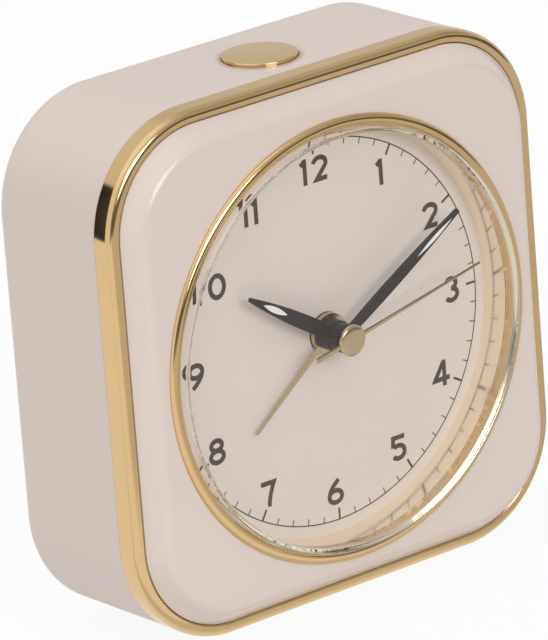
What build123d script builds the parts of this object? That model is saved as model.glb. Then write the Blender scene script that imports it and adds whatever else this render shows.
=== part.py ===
"""Square desk alarm clock: moulded case, gold-tone trim, glazed dial and a geared quartz movement.

Every piece is drawn in the clock's own frame: x to the right and y up as the dial is read, z out of
the dial towards the reader, from the dial axis on the flat of the front panel. The last step turns
that frame upright: +Z up, the dial facing -Y, the origin under the middle of the feet.
"""

import os
from math import acos, atan2, cos, degrees, pi, radians, sin

from build123d import *

# Fits shared by all pieces, in millimetres
overrun = 1.0
seat_gap = 0.1
run_gap = 0.05
pass_gap = 0.4

# Case shell
corner_radius = 22.2
case_wall = 2.4
rim_setback = 8.4
back_edge_radius = 3.2
rim_chamfer = 0.3
cover_lip = 1.1
base_margin = 5.38
dial_drop = 0.5
back_clear = 0.3
post_radius = 3.6
post_margin = 0.65

# Rubber feet
foot_radius = 4.0
foot_rise = 1.0
foot_recess = 0.6
foot_edge = 0.5
foot_spread = 27.5
foot_margin = 0.6

# Gold trim round the front
trim_proud = 0.15
trim_height = 4.6
trim_outer_radius = 1.5
trim_inner_radius = 0.5

# Front panel
panel_slope_height = 3.9
panel_slope_angle = 38.0
panel_edge_radius = 2.6
panel_thickness = 2.6
panel_skirt_wall = 2.2
boss_pitch = 5.2
panel_boss_radius = 3.0

# Dial bezel and lens
bezel_width = 2.45
bezel_rise = 0.95
bezel_lip_rise = 0.25
bezel_wall = 1.5
lens_border = 10.7
lens_step = 0.9
lens_clear = 0.3
lens_thickness = 0.9
lens_shoulder_radius = 0.35
lens_inner_bend = 0.2
lens_seat_depth = 1.3

# Dial and the chassis plate behind it
dial_depth = 7.2
dial_margin = 1.1
dial_thickness = 0.8
chassis_thickness = 1.6
chassis_screw_radius = 1.2
chassis_screw_head_radius = 2.4
chassis_screw_head = 1.2
chassis_screw_length = 5.5

# Hands: gaps between them from the bush outwards, blade sizes, and angles clockwise from twelve
hand_thickness = 0.3
leaf_thickness = 1.0
alarm_hand_gap = 0.15
hour_hand_gap = 0.15
minute_hand_gap = 0.15
second_hand_gap = 0.3
alarm_collet_depth = 0.7
hour_collet_depth = 1.4
minute_collet_depth = 0.6
minute_boss_rise = 1.0
second_collet_depth = 0.6
alarm_hand_reach = 25.0
alarm_hand_root = 1.2
alarm_hand_tip = 0.6
alarm_collet_radius = 4.05
alarm_hand_angle = 233.0
hour_hand_reach = 24.5
hour_hand_root = 2.4
hour_hand_width = 3.0
hour_hand_tip = 0.8
hour_hand_widest = 10.0
hour_collet_radius = 3.1
hour_hand_angle = 302.0
hour_lume_tip = 3.4
hour_lume_length = 6.6
hour_lume_width = 1.2
minute_tip_gap = 5.4
minute_hand_root = 1.6
minute_hand_width = 2.1
minute_hand_tip = 0.7
minute_hand_widest = 18.0
minute_collet_radius = 2.9
minute_hand_angle = 60.0
minute_lume_tip = 2.3
minute_lume_length = 10.7
minute_lume_width = 0.78
second_tip_gap = 6.9
second_hand_tail = 9.1
second_hand_root = 0.9
second_hand_tip = 0.5
second_tail_width = 1.1
second_collet_radius = 1.0
second_cap_radius = 3.0
second_cap_height = 0.75
second_cap_dome = 0.45
second_hand_angle = 78.4

# Nested arbors on the dial axis
arbor_radius = 0.5
pipe_wall = 0.55
bush_wall = 1.05
bush_rise = 0.3

# Movement plates and housing
movement_margin = 6.4
movement_corner = 4.0
plate_thickness = 1.5
middle_plate_thickness = 1.0
housing_wall = 1.6
pillar_radius = 1.8
pillar_inset = 5.5
ear_radius = 3.5
ear_reach = 3.0
movement_screw_radius = 1.1
movement_screw_head_radius = 2.2
movement_screw_head = 1.2

# Layers of the movement, counted back from its front face
wheel_thickness = 1.0
layer_gap = 0.5
pinion_overlap = 0.2
rotor_height = 2.6
pivot_radius = 0.4
pivot_length = 0.8
wheel_arbor_radius = 0.6
end_play = 0.1

# Gear trains: tooth counts, centre distances and directions of the axes from the dial axis
tip_share = 0.24
root_share = 0.54
pinion_tip_share = 0.22
pinion_root_share = 0.44
addendum_share = 0.75
dedendum_share = 1.1
cannon_teeth = 12
motion_teeth = 36
motion_pinion_teeth = 9
hour_teeth = 36
motion_distance = 12.0
alarm_teeth = 36
alarm_pinion_teeth = 12
shaft_gap = 0.48
knob_height = 3.54
time_pinion_teeth = 9
second_pinion_teeth = 6
third_teeth = 45
third_pinion_teeth = 6
centre_teeth = 48
train_step = 0.24
third_angle = 235.0
second_teeth = 30
step_pinion_teeth = 6
step_teeth = 36
rotor_pinion_teeth = 6
step_distance = 8.4
step_angle = -40.0
rotor_angle = -20.0

# Setting shafts and knobs
shaft_radius = 1.1
knob_radius = 6.0
knob_thickness = 3.1
knob_flutes = 18
knob_flute_radius = 0.6
knob_dish_radius = 3.6
knob_dish_depth = 0.8

# Stepping motor
magnet_radius = 3.0
stator_gap = 0.4
stator_thickness = 1.0
stator_height = 18.6
stator_rim = 1.3
stator_side_rim = 2.3
stator_leg = 5.0
core_width = 2.4
coil_winding = 0.5
coil_length = 12.6
coil_clear = 0.4
coil_side_gap = 0.7
bobbin_cheek = 0.8
bobbin_wall = 0.4

# Circuit board
board_thickness = 1.2
circuit_height = 12.5
circuit_margin = 1.4
chip_radius = 4.0
chip_height = 1.1
chip_inset = 11.0
crystal_radius = 1.0
crystal_length = 6.2
crystal_inset = 13.0

# Back cover with its control recess
cover_thickness = 2.4
tray_wall = 1.6
recess_width = 54.0
recess_margin = 3.0
recess_depth = 3.6
recess_corner = 6.0
knob_gap = 0.3
cover_screw_radius = 1.45
cover_screw_length = 9.0
cover_screw_head_radius = 2.9
cover_screw_head = 1.1

# Alarm switch
switch_clear = 2.0
switch_travel = 5.0
switch_tab_width = 4.4
switch_tab_height = 3.0
switch_tab_rise = 2.2
switch_carriage_width = 11.0
switch_carriage_height = 6.0
switch_carriage_thickness = 1.0
switch_base_thickness = 2.6
switch_leg = 3.0
switch_gap = 0.3

# Buzzer
buzzer_radius = 11.0
buzzer_thickness = 3.4
buzzer_gap = 0.6
buzzer_ring_wall = 1.2
sound_slots = 5
sound_slot_width = 1.5
sound_slot_pitch = 3.4
sound_slot_length = 17.0

# Battery bay, cell and door
cell_radius = 7.25
cell_length = 49.2
cell_nub_radius = 2.7
cell_nub = 1.3
cell_edge = 0.6
cell_clear = 1.15
spring_room = 4.4
bay_gap = 0.5
bay_wall = 1.4
bay_clear = 0.85
contact_thickness = 0.4
contact_width = 9.0
contact_bump_radius = 2.2
contact_bump = 0.3
door_ledge = 1.9
door_thickness = 1.8
door_gap = 0.3
door_corner = 2.0
door_ribs = 4
door_rib_pitch = 1.6
door_rib_width = 0.8
door_rib_length = 12.0
door_rib_depth = 0.5

# Snooze button on the top
snooze_depth = 20.5
snooze_radius = 6.9
snooze_rise = 1.1
snooze_edge_radius = 0.5
snooze_travel = 1.0
snooze_catch = 0.85
snooze_flange = 1.0
snooze_stem_radius = 2.0
snooze_stem = 1.8
collar_gap = 0.15
collar_wall = 0.3
collar_flange = 0.35
collar_rise = 0.35
collar_tail = 0.4
dome_radius = 4.2
dome_top_radius = 2.4
dome_pressed_height = 3.4
dome_wall = 0.7
snooze_board_edge = 1.0
snooze_board_height = 12.0
snooze_post_gap = 0.8
snooze_post_radius = 2.0
board_screw_radius = 0.9
board_screw_head_radius = 1.8
board_screw_head = 1.0
board_screw_length = 4.0

def polar(distance, direction):
    """Point at a distance from the dial axis, with the direction in degrees anticlockwise from +x."""
    return distance * cos(radians(direction)), distance * sin(radians(direction))


def direction_of(start, end):
    """Direction in radians of the line from one axis to another."""
    return atan2(end[1] - start[1], end[0] - start[0])


def meshed(start, end, phase, teeth, mate_teeth):
    """Phase of a gear whose gaps face the teeth of its neighbour at rest."""
    line = direction_of(start, end)
    turn = (line - phase) / (2 * pi / teeth)
    return line + pi - (1 / 2 - turn) * 2 * pi / mate_teeth


def module_for(distance, teeth, mate_teeth):
    """Tooth size that gives two gears their centre distance."""
    return 2 * distance / (teeth + mate_teeth)


# Axes of the trains, in the plane of the dial
dial_axis = (0, 0)
third_distance = motion_distance + train_step
centre_module = module_for(third_distance, third_pinion_teeth, centre_teeth)
centre_tip_radius = centre_module * (centre_teeth / 2 + addendum_share)
knob_distance = centre_tip_radius + shaft_radius + shaft_gap
knob_spread = (knob_distance ** 2 - knob_height ** 2) ** (1 / 2)
time_axis = (knob_spread, knob_height)
alarm_axis = (-knob_spread, knob_height)
motion_module = module_for(motion_distance, cannon_teeth, motion_teeth)
time_distance = motion_module * (motion_teeth + time_pinion_teeth) / 2
motion_turn = acos((motion_distance ** 2 + knob_distance ** 2 - time_distance ** 2)
                   / (2 * motion_distance * knob_distance))
motion_axis = polar(motion_distance, degrees(direction_of(dial_axis, time_axis) + motion_turn))
third_axis = polar(third_distance, third_angle)
step_axis = polar(step_distance, step_angle)
rotor_offset = polar(step_distance, rotor_angle)
rotor_axis = (step_axis[0] + rotor_offset[0], step_axis[1] + rotor_offset[1])

# Tooth sizes and phases of the other pairs
hour_module = module_for(motion_distance, motion_pinion_teeth, hour_teeth)
alarm_module = module_for(knob_distance, alarm_teeth, alarm_pinion_teeth)
third_module = module_for(third_distance, second_pinion_teeth, third_teeth)
second_module = module_for(step_distance, second_teeth, step_pinion_teeth)
step_module = module_for(step_distance, step_teeth, rotor_pinion_teeth)
motion_phase = meshed(dial_axis, motion_axis, 0, cannon_teeth, motion_teeth)
time_phase = meshed(motion_axis, time_axis, motion_phase, motion_teeth, time_pinion_teeth)
hour_phase = meshed(motion_axis, dial_axis, 0, motion_pinion_teeth, hour_teeth)
alarm_pinion_phase = meshed(dial_axis, alarm_axis, 0, alarm_teeth, alarm_pinion_teeth)
third_phase = meshed(dial_axis, third_axis, 0, second_pinion_teeth, third_teeth)
centre_phase = meshed(third_axis, dial_axis, 0, third_pinion_teeth, centre_teeth)
step_pinion_phase = meshed(dial_axis, step_axis, 0, second_teeth, step_pinion_teeth)
rotor_phase = meshed(step_axis, rotor_axis, 0, step_teeth, rotor_pinion_teeth)

# Stator round the rotor, the coil below it and the movement round both
coil_radius = core_width / 2 + bobbin_wall + coil_winding
stator_width = coil_length + 2 * stator_leg + 2 * coil_side_gap
stator_pole = 2 * (magnet_radius + stator_gap + stator_rim)
stator_top = rotor_axis[1] + stator_pole / 2
stator_right = rotor_axis[0] + magnet_radius + stator_gap + stator_side_rim
core_height = stator_top - stator_height + core_width / 2
movement_height = 2 * (coil_radius + coil_clear + housing_wall - core_height)
movement_width = 2 * (stator_right + movement_margin + housing_wall)
circuit_width = movement_width - 2 * (housing_wall + circuit_margin)
circuit_centre = movement_height / 2 - housing_wall - circuit_margin - circuit_height / 2

# Levels along the dial axis, positive towards the reader, from the panel's flat to the movement
rim_z = -rim_setback
panel_shoulder_z = -panel_slope_height
dial_back_z = -dial_depth - dial_thickness
chassis_back_z = dial_back_z - chassis_thickness
front_plate_back = chassis_back_z - plate_thickness
alarm_wheel_front = front_plate_back - layer_gap
hour_wheel_front = alarm_wheel_front - wheel_thickness - layer_gap
motion_wheel_front = hour_wheel_front - wheel_thickness - layer_gap
centre_wheel_front = motion_wheel_front - wheel_thickness - layer_gap - pinion_overlap
third_wheel_front = centre_wheel_front - wheel_thickness - layer_gap
middle_plate_front = third_wheel_front - wheel_thickness - layer_gap
middle_plate_back = middle_plate_front - middle_plate_thickness
second_wheel_front = middle_plate_back - layer_gap
step_wheel_front = second_wheel_front - wheel_thickness - layer_gap
magnet_front = step_wheel_front - wheel_thickness - layer_gap
rear_wall_front = magnet_front - rotor_height / 2 - coil_radius - coil_clear
rear_wall_back = rear_wall_front - housing_wall

# Levels of the controls and the back, counted back from the movement
switch_base_z = rear_wall_back - back_clear - switch_base_thickness
switch_carriage_z = switch_base_z - switch_gap - switch_carriage_thickness
recess_inner_z = switch_carriage_z - switch_gap
recess_floor_z = recess_inner_z - tray_wall
back_z = recess_floor_z - recess_depth
cover_inner_z = back_z + cover_thickness
knob_front_z = recess_floor_z - knob_gap
knob_back_z = knob_front_z - knob_thickness

# Heights on the back, counted up from the knobs and down from the movement
switch_height = knob_height + knob_radius + switch_clear + switch_tab_height / 2
recess_top = switch_height + switch_tab_height / 2 + recess_margin
recess_bottom = knob_height - knob_radius - recess_margin
recess_height = recess_top - recess_bottom
recess_centre = (recess_top + recess_bottom) / 2
buzzer_bore = buzzer_radius + seat_gap
buzzer_centre = recess_top + tray_wall + buzzer_gap + buzzer_bore + buzzer_ring_wall
bay_half_height = cell_radius + bay_gap
bay_length = cell_length + cell_nub + 2 * contact_thickness + contact_bump + spring_room
cell_centre = -movement_height / 2 - bay_clear - bay_wall - bay_half_height
cell_depth = -back_z - door_thickness - cell_clear - cell_radius
bay_front = -cell_depth + cell_radius + seat_gap

# Case round the battery bay, and the front that fills it
half_side = -cell_centre + bay_half_height + bay_wall + base_margin + case_wall + dial_drop
case_centre = (0, dial_drop)
case_top = dial_drop + half_side
case_bottom = dial_drop - half_side
inner_half = half_side - case_wall
panel_half = inner_half - seat_gap
front_foot_depth = rim_setback + foot_radius + foot_margin
rear_foot_depth = -back_z - back_edge_radius - foot_radius - foot_margin
diagonal_share = cos(pi / 4)
lip_half = inner_half - cover_lip
lip_corner = corner_radius - case_wall - cover_lip
post_offset = (lip_half - lip_corner * (1 - diagonal_share)
               - (cover_screw_head_radius + post_margin) * diagonal_share)
panel_boss_offset = post_offset - boss_pitch
lens_radius = half_side - lens_border
lens_bore = lens_radius + seat_gap
rehaut_radius = lens_radius - lens_step
bezel_radius = lens_radius + bezel_width
bezel_cup_radius = rehaut_radius + bezel_wall
dial_radius = bezel_cup_radius + dial_margin

# Radii of the nested pipes
centre_bore = arbor_radius + run_gap
centre_tube = centre_bore + pipe_wall
cannon_bore = centre_tube + run_gap
cannon_tube = cannon_bore + pipe_wall
hour_bore = cannon_tube + run_gap
hour_tube = hour_bore + pipe_wall
alarm_bore = hour_tube + run_gap
alarm_tube = alarm_bore + pipe_wall
bush_bore = alarm_tube + run_gap
bush_radius = bush_bore + bush_wall
bush_front = -dial_depth + bush_rise

# Planes and lengths of the hands
alarm_hand_back = bush_front + alarm_hand_gap + alarm_collet_depth
alarm_hand_front = alarm_hand_back + hand_thickness
hour_hand_back = alarm_hand_front + hour_hand_gap + hour_collet_depth
hour_hand_front = hour_hand_back + leaf_thickness
minute_hand_back = hour_hand_front + minute_hand_gap + minute_collet_depth
minute_hand_front = minute_hand_back + leaf_thickness
minute_boss_front = minute_hand_front + minute_boss_rise
second_hand_back = minute_boss_front + second_hand_gap + second_collet_depth
lens_rise = second_hand_back + second_cap_height + lens_clear + lens_thickness
minute_hand_reach = rehaut_radius - minute_tip_gap
second_hand_reach = rehaut_radius - second_tip_gap
hour_lume_end = hour_hand_reach - hour_lume_tip
hour_lume_start = hour_lume_end - hour_lume_length
minute_lume_end = minute_hand_reach - minute_lume_tip
minute_lume_start = minute_lume_end - minute_lume_length

# Snooze button: radii from its collar outwards, heights from the case top down
top_inner = case_top - case_wall
collar_bore = snooze_radius + collar_gap
collar_sleeve_radius = collar_bore + collar_wall
snooze_flange_radius = collar_sleeve_radius + snooze_catch
snooze_post_spread = snooze_flange_radius + snooze_post_gap + snooze_post_radius
snooze_board_width = 2 * (snooze_post_spread + snooze_post_radius + snooze_board_edge)
dome_height = dome_pressed_height + snooze_travel
snooze_flange_top = top_inner - collar_tail - run_gap
snooze_stem_bottom = snooze_flange_top - snooze_flange - snooze_stem
snooze_board_top = snooze_stem_bottom - run_gap - dome_height


def plate(sketch, back, front):
    """Flat sketch raised between two levels along the dial axis."""
    return Pos(0, 0, back) * extrude(sketch, front - back)


def disc(radius, back, front, bore=0):
    """Round plate on the dial axis, with an optional bore."""
    sketch = Circle(radius)
    if bore:
        sketch -= Circle(bore)
    return plate(sketch, back, front)


def rod(radius, bottom, top):
    """Upright rod on the snooze button's axis, between two heights."""
    lying = Rot(-90, 0, 0) * extrude(Circle(radius), top - bottom)
    return Pos(0, bottom, -snooze_depth) * lying


def turned(points_and_arcs):
    """Solid of revolution about the dial axis from a closed outline in radius and level."""
    return revolve(Plane.XZ * make_face(points_and_arcs), Axis.Z)


def square(half, radius):
    """Square with rounded corners round the middle of the case, given by its half side."""
    return at(case_centre, RectangleRounded(2 * half, 2 * half, radius))


def at(point, shape):
    """Shape moved sideways to an axis that is parallel to the dial axis."""
    return Pos(point[0], point[1], 0) * shape


def corners(offset):
    """Four points on the diagonals of the case."""
    return [(sx * offset, dial_drop + sy * offset) for sx in (-1, 1) for sy in (-1, 1)]


def front_edges(shape):
    """Edges of the foremost face."""
    return shape.faces().sort_by(Axis.Z)[-1].edges()


def case_body():
    """Open shell with a rounded back edge, cover posts, snooze hole and foot recesses."""
    shell = plate(square(half_side, corner_radius), back_z, rim_z)
    back_rim = shell.faces().sort_by(Axis.Z)[0].outer_wire().edges()
    shell = fillet(back_rim, back_edge_radius)
    shell = chamfer(shell.faces().sort_by(Axis.Z)[-1].outer_wire().edges(), rim_chamfer)
    inside = square(inner_half, corner_radius - case_wall)
    shell -= plate(inside, cover_inner_z, rim_z + overrun)
    opening = square(lip_half, lip_corner)
    shell -= plate(opening, back_z - overrun, cover_inner_z + overrun)
    mid_wall = square(half_side - case_wall / 2, corner_radius - case_wall / 2)
    within = plate(mid_wall, cover_inner_z, chassis_back_z)
    web = Pos(post_radius, 0) * Rectangle(2 * post_radius, case_wall)
    post = plate(Circle(post_radius) + web, cover_inner_z, chassis_back_z)
    for corner in corners(post_offset):
        outwards = degrees(direction_of(case_centre, corner))
        shell += at(corner, Rot(0, 0, outwards) * post) & within
        shell -= at(corner, disc(cover_screw_radius + run_gap, cover_inner_z - overrun,
                                 cover_inner_z + cover_screw_length))
    for side in (-1, 1):
        hanger = Pos(side * snooze_post_spread, 0, 0) * rod(snooze_post_radius, snooze_board_top,
                                                            top_inner + case_wall / 2)
        pilot = Pos(side * snooze_post_spread, 0, 0) * rod(board_screw_radius + run_gap,
                                                           snooze_board_top - overrun,
                                                           snooze_board_top + board_screw_length)
        shell += hanger
        shell -= pilot
    shell -= rod(collar_sleeve_radius + run_gap, top_inner - overrun, case_top + overrun)
    for centre in foot_places():
        recess = extrude(Circle(foot_radius + run_gap), foot_recess + overrun)
        shell -= Pos(centre[0], case_bottom + foot_recess, centre[1]) * Rot(90, 0, 0) * recess
    return shell


def foot_places():
    """Sideways place and level of each foot."""
    return [(side * foot_spread, -depth) for side in (-1, 1) for depth in (front_foot_depth, rear_foot_depth)]


def feet():
    """Four round pads pressed into the recesses of the base."""
    pads = []
    for centre in foot_places():
        pad = extrude(Circle(foot_radius), foot_rise + foot_recess)
        pad = chamfer(pad.edges().sort_by(Axis.Z)[-1], foot_edge)
        pads.append(Pos(centre[0], case_bottom + foot_recess, centre[1]) * Rot(90, 0, 0) * pad)
    return Compound(children=pads)


def front_trim():
    """Square bead of gold-tone metal that closes the joint between case and front panel."""
    outline = square(half_side + trim_proud, corner_radius + trim_proud)
    outline -= square(inner_half, corner_radius - case_wall)
    ring = plate(outline, rim_z, rim_z + trim_height)
    face = ring.faces().sort_by(Axis.Z)[-1]
    ring = fillet(face.outer_wire().edges(), trim_outer_radius)
    inner_rim = ring.faces().sort_by(Axis.Z)[-1].inner_wires()[0].edges()
    return fillet(inner_rim, trim_inner_radius)


def front_panel():
    """Gloss front: straight skirt, sloped shoulder with a soft edge, flat face with a round opening."""
    panel_corner = corner_radius - case_wall - seat_gap
    skirt = plate(square(panel_half, panel_corner), dial_back_z, panel_shoulder_z)
    raised = extrude(square(panel_half, panel_corner), panel_slope_height, taper=panel_slope_angle)
    raised = fillet(front_edges(raised), panel_edge_radius)
    body = skirt + Pos(0, 0, panel_shoulder_z) * raised
    pocket_half = panel_half - panel_skirt_wall
    pocket_corner = panel_corner - panel_skirt_wall
    pocket_front = panel_shoulder_z - panel_skirt_wall / 2
    body -= plate(square(pocket_half, pocket_corner), dial_back_z - overrun, pocket_front)
    hollow_half = pocket_half - panel_slope_height
    hollow = square(hollow_half, pocket_corner - panel_slope_height)
    body -= plate(hollow, dial_back_z - overrun, -panel_thickness)
    for corner in corners(panel_boss_offset):
        body += at(corner, disc(panel_boss_radius, dial_back_z, -panel_thickness / 2))
        body -= at(corner, disc(chassis_screw_radius + run_gap, dial_back_z - overrun,
                                chassis_back_z + chassis_screw_length))
    return body - disc(bezel_cup_radius + seat_gap, dial_back_z - overrun, overrun)


def dial_bezel():
    """Rolled gold-tone ring on the panel with a polished wall down to the dial and a seat for the lens."""
    foot = (bezel_radius, 0)
    crown = ((bezel_radius + lens_bore) / 2, bezel_rise)
    lip = (lens_bore, bezel_lip_rise)
    seat = -lens_seat_depth
    outline = [
        Polyline(lip, (lens_bore, seat), (rehaut_radius, seat), (rehaut_radius, -dial_depth),
                 (bezel_cup_radius, -dial_depth), (bezel_cup_radius, 0), foot),
        ThreePointArc(foot, crown, lip),
    ]
    return turned(outline)


def lens():
    """Clear cup: flat window, tight shoulder and a short wall that stands on the bezel's seat."""
    inner_radius = lens_radius - lens_thickness
    inner_level = lens_rise - lens_thickness
    bend = lens_shoulder_radius
    inner_bend = lens_inner_bend
    outline = [
        Polyline((0, inner_level), (0, lens_rise), (lens_radius - bend, lens_rise)),
        RadiusArc((lens_radius - bend, lens_rise), (lens_radius, lens_rise - bend), bend),
        Polyline((lens_radius, lens_rise - bend), (lens_radius, -lens_seat_depth),
                 (inner_radius, -lens_seat_depth), (inner_radius, inner_level - inner_bend)),
        RadiusArc((inner_radius, inner_level - inner_bend), (inner_radius - inner_bend, inner_level),
                  -inner_bend),
        Line((inner_radius - inner_bend, inner_level), (0, inner_level)),
    ]
    return turned(outline)


def dial():
    """Thin printed disc with a clearance hole for the centre bush."""
    return disc(dial_radius, dial_back_z, -dial_depth, bush_radius + seat_gap)


def chassis_plate():
    """Square carrier that holds the dial, the panel and the movement together."""
    sketch = square(panel_half, corner_radius - case_wall - seat_gap)
    sketch -= Circle(bush_radius + seat_gap)
    for corner in corners(panel_boss_offset):
        sketch -= at(corner, Circle(chassis_screw_radius + run_gap))
    for ear in ear_places():
        sketch -= at(ear, Circle(movement_screw_radius + run_gap))
    return plate(sketch, chassis_back_z, dial_back_z)


def screw(shank_radius, shank_end, head_radius, head_seat, head_back, place):
    """Screw with a flat head, its shank forward of the head and its driver slot at the back."""
    body = disc(head_radius, head_back, head_seat) + disc(shank_radius, head_seat - run_gap, shank_end)
    slot = Rectangle(2 * head_radius + overrun, shank_radius / 2)
    body -= plate(slot, head_back - overrun, head_back + (head_seat - head_back) / 2)
    return at(place, body)


def chassis_screws():
    """Screws that clamp the chassis plate to the panel's bosses."""
    head_back = chassis_back_z - chassis_screw_head
    return Compound(children=[
        screw(chassis_screw_radius, chassis_back_z + chassis_screw_length - seat_gap,
              chassis_screw_head_radius, chassis_back_z, head_back, corner)
        for corner in corners(panel_boss_offset)])


def blade(reach, root, widest_at, width, tip):
    """Leaf outline from the axis to a blunt tip, each side one arc."""
    left = ThreePointArc((-root / 2, 0), (-width / 2, widest_at), (-tip / 2, reach))
    right = ThreePointArc((tip / 2, reach), (width / 2, widest_at), (root / 2, 0))
    ends = [Line((-tip / 2, reach), (tip / 2, reach)), Line((root / 2, 0), (-root / 2, 0))]
    return make_face([left, right] + ends)


def spindle(start, end, width):
    """Lens-shaped slot between two radii."""
    middle = (start + end) / 2
    left = ThreePointArc((0, start), (-width / 2, middle), (0, end))
    right = ThreePointArc((0, end), (width / 2, middle), (0, start))
    return make_face([left, right])


def hand(outline, back, front, hub_radius, hub_back, hub_front, bore, angle):
    """Flat hand with a hub round its bore, turned clockwise to its angle."""
    shape = plate(outline, back, front) + disc(hub_radius, hub_back, hub_front)
    shape -= disc(bore, hub_back - overrun, hub_front + overrun)
    return Rot(0, 0, -angle) * shape


def alarm_hand():
    """Slim gold pointer for the alarm time."""
    half_root = alarm_hand_root / 2
    half_tip = alarm_hand_tip / 2
    outline = make_face(Polyline((-half_root, 0), (-half_tip, alarm_hand_reach), (half_tip, alarm_hand_reach),
                                 (half_root, 0), close=True))
    return hand(outline, alarm_hand_back, alarm_hand_front, alarm_collet_radius,
                alarm_hand_back - alarm_collet_depth, alarm_hand_front, alarm_tube, alarm_hand_angle)


def hour_hand():
    """Black leaf hand with a slot for its luminous filling."""
    outline = blade(hour_hand_reach, hour_hand_root, hour_hand_widest, hour_hand_width, hour_hand_tip)
    outline -= spindle(hour_lume_start, hour_lume_end, hour_lume_width)
    return hand(outline, hour_hand_back, hour_hand_front, hour_collet_radius,
                hour_hand_back - hour_collet_depth, hour_hand_front, hour_tube, hour_hand_angle)


def minute_hand():
    """Longer black leaf hand with a slot for its luminous filling."""
    outline = blade(minute_hand_reach, minute_hand_root, minute_hand_widest, minute_hand_width,
                    minute_hand_tip)
    outline -= spindle(minute_lume_start, minute_lume_end, minute_lume_width)
    return hand(outline, minute_hand_back, minute_hand_front, minute_collet_radius,
                minute_hand_back - minute_collet_depth, minute_boss_front, cannon_tube, minute_hand_angle)


def lume(start, end, width, back, front, angle):
    """Luminous filling, flush in its hand."""
    filling = plate(spindle(start, end, width), back, front)
    return Rot(0, 0, -angle) * filling


def second_hand():
    """Thin gold hand with a counterweight tail, a collet and a domed cap."""
    half_root = second_hand_root / 2
    half_tip = second_hand_tip / 2
    half_tail = second_tail_width / 2
    needle = make_face(Polyline((-half_root, 0), (-half_tip, second_hand_reach),
                                (half_tip, second_hand_reach), (half_root, 0),
                                (half_tail, -second_hand_tail), (-half_tail, -second_hand_tail),
                                close=True))
    back = second_hand_back
    shape = plate(needle, back, back + hand_thickness)
    shape += disc(second_collet_radius, back - second_collet_depth, back)
    cap = disc(second_cap_radius, back - run_gap, back + second_cap_height)
    shape += fillet(cap.edges().sort_by(Axis.Z)[-1], second_cap_dome)
    shape -= disc(arbor_radius, back - second_collet_depth - overrun, back)
    return Rot(0, 0, -second_hand_angle) * shape


def tooth_outline(teeth, module, phase, tip, root):
    """Gear outline with straight-flanked teeth, its first tooth centred on the phase angle."""
    pitch_radius = module * teeth / 2
    pitch = 2 * pi / teeth
    inner = pitch_radius - dedendum_share * module
    outer = pitch_radius + addendum_share * module
    points = []
    for tooth in range(teeth):
        middle = phase + tooth * pitch
        for radius, share in ((inner, -root), (outer, -tip), (outer, tip), (inner, root)):
            angle = middle + share * pitch / 2
            points.append((radius * cos(angle), radius * sin(angle)))
    return make_face(Polyline(points, close=True))


def wheel(teeth, module, phase, back, front, bore):
    """Toothed wheel on the dial axis."""
    return plate(tooth_outline(teeth, module, phase, tip_share, root_share) - Circle(bore), back, front)


def pinion(teeth, module, phase, back, front, bore):
    """Small gear with slimmer teeth."""
    sketch = tooth_outline(teeth, module, phase, pinion_tip_share, pinion_root_share)
    if bore:
        sketch -= Circle(bore)
    return plate(sketch, back, front)


def ear_places():
    """Centres of the two ears that screw the movement to the chassis plate."""
    reach = movement_width / 2 + ear_reach
    return [(-reach, 0), (reach, 0)]


def pillar_places():
    """Centres of the pillars between the movement's plates."""
    across = movement_width / 2 - pillar_inset
    along = movement_height / 2 - pillar_inset
    return [(sx * across, sy * along) for sx in (-1, 1) for sy in (-1, 1)]


def movement_outline(inset):
    """Rounded rectangle of the movement, set in by a wall."""
    width = movement_width - 2 * inset
    height = movement_height - 2 * inset
    return RectangleRounded(width, height, movement_corner - inset / 2)


def pivot_hole(place, radius, level):
    """Blind bearing hole, one pivot deep, in a plate whose face is at the level."""
    return at(place, disc(radius + run_gap, level - overrun, level + pivot_length + end_play))


def movement_front_plate():
    """Front plate with the centre bush, ears, pillars, motion stud and front bearings."""
    outline = movement_outline(0)
    for ear in ear_places():
        outline += at(ear, Circle(ear_radius))
        root = ear[0] * movement_width / 2 / abs(ear[0])
        outline += at((root, 0), Rectangle(2 * ear_reach, 2 * ear_radius))
        outline -= at(ear, Circle(movement_screw_radius + run_gap))
    body = plate(outline, front_plate_back, chassis_back_z)
    body += disc(bush_radius, chassis_back_z - run_gap, bush_front)
    body -= disc(bush_bore, front_plate_back - overrun, bush_front + overrun)
    for place in pillar_places():
        body += at(place, disc(pillar_radius, middle_plate_front, front_plate_back))
    stud_end = motion_wheel_front - wheel_thickness - run_gap
    body += at(motion_axis, disc(wheel_arbor_radius, stud_end, front_plate_back))
    body -= pivot_hole(third_axis, pivot_radius, front_plate_back)
    for axis in (time_axis, alarm_axis):
        body -= pivot_hole(axis, shaft_radius / 2, front_plate_back)
    return body


def movement_middle_plate():
    """Bridge that parts the wheel train from the stepping motor and carries their inner pivots."""
    sketch = movement_outline(housing_wall + seat_gap)
    sketch -= Circle(arbor_radius + run_gap)
    for axis in (third_axis, step_axis, rotor_axis):
        sketch -= at(axis, Circle(pivot_radius + run_gap))
    for axis in (time_axis, alarm_axis):
        sketch -= at(axis, Circle(shaft_radius + run_gap))
    return plate(sketch, middle_plate_back, middle_plate_front)


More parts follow.
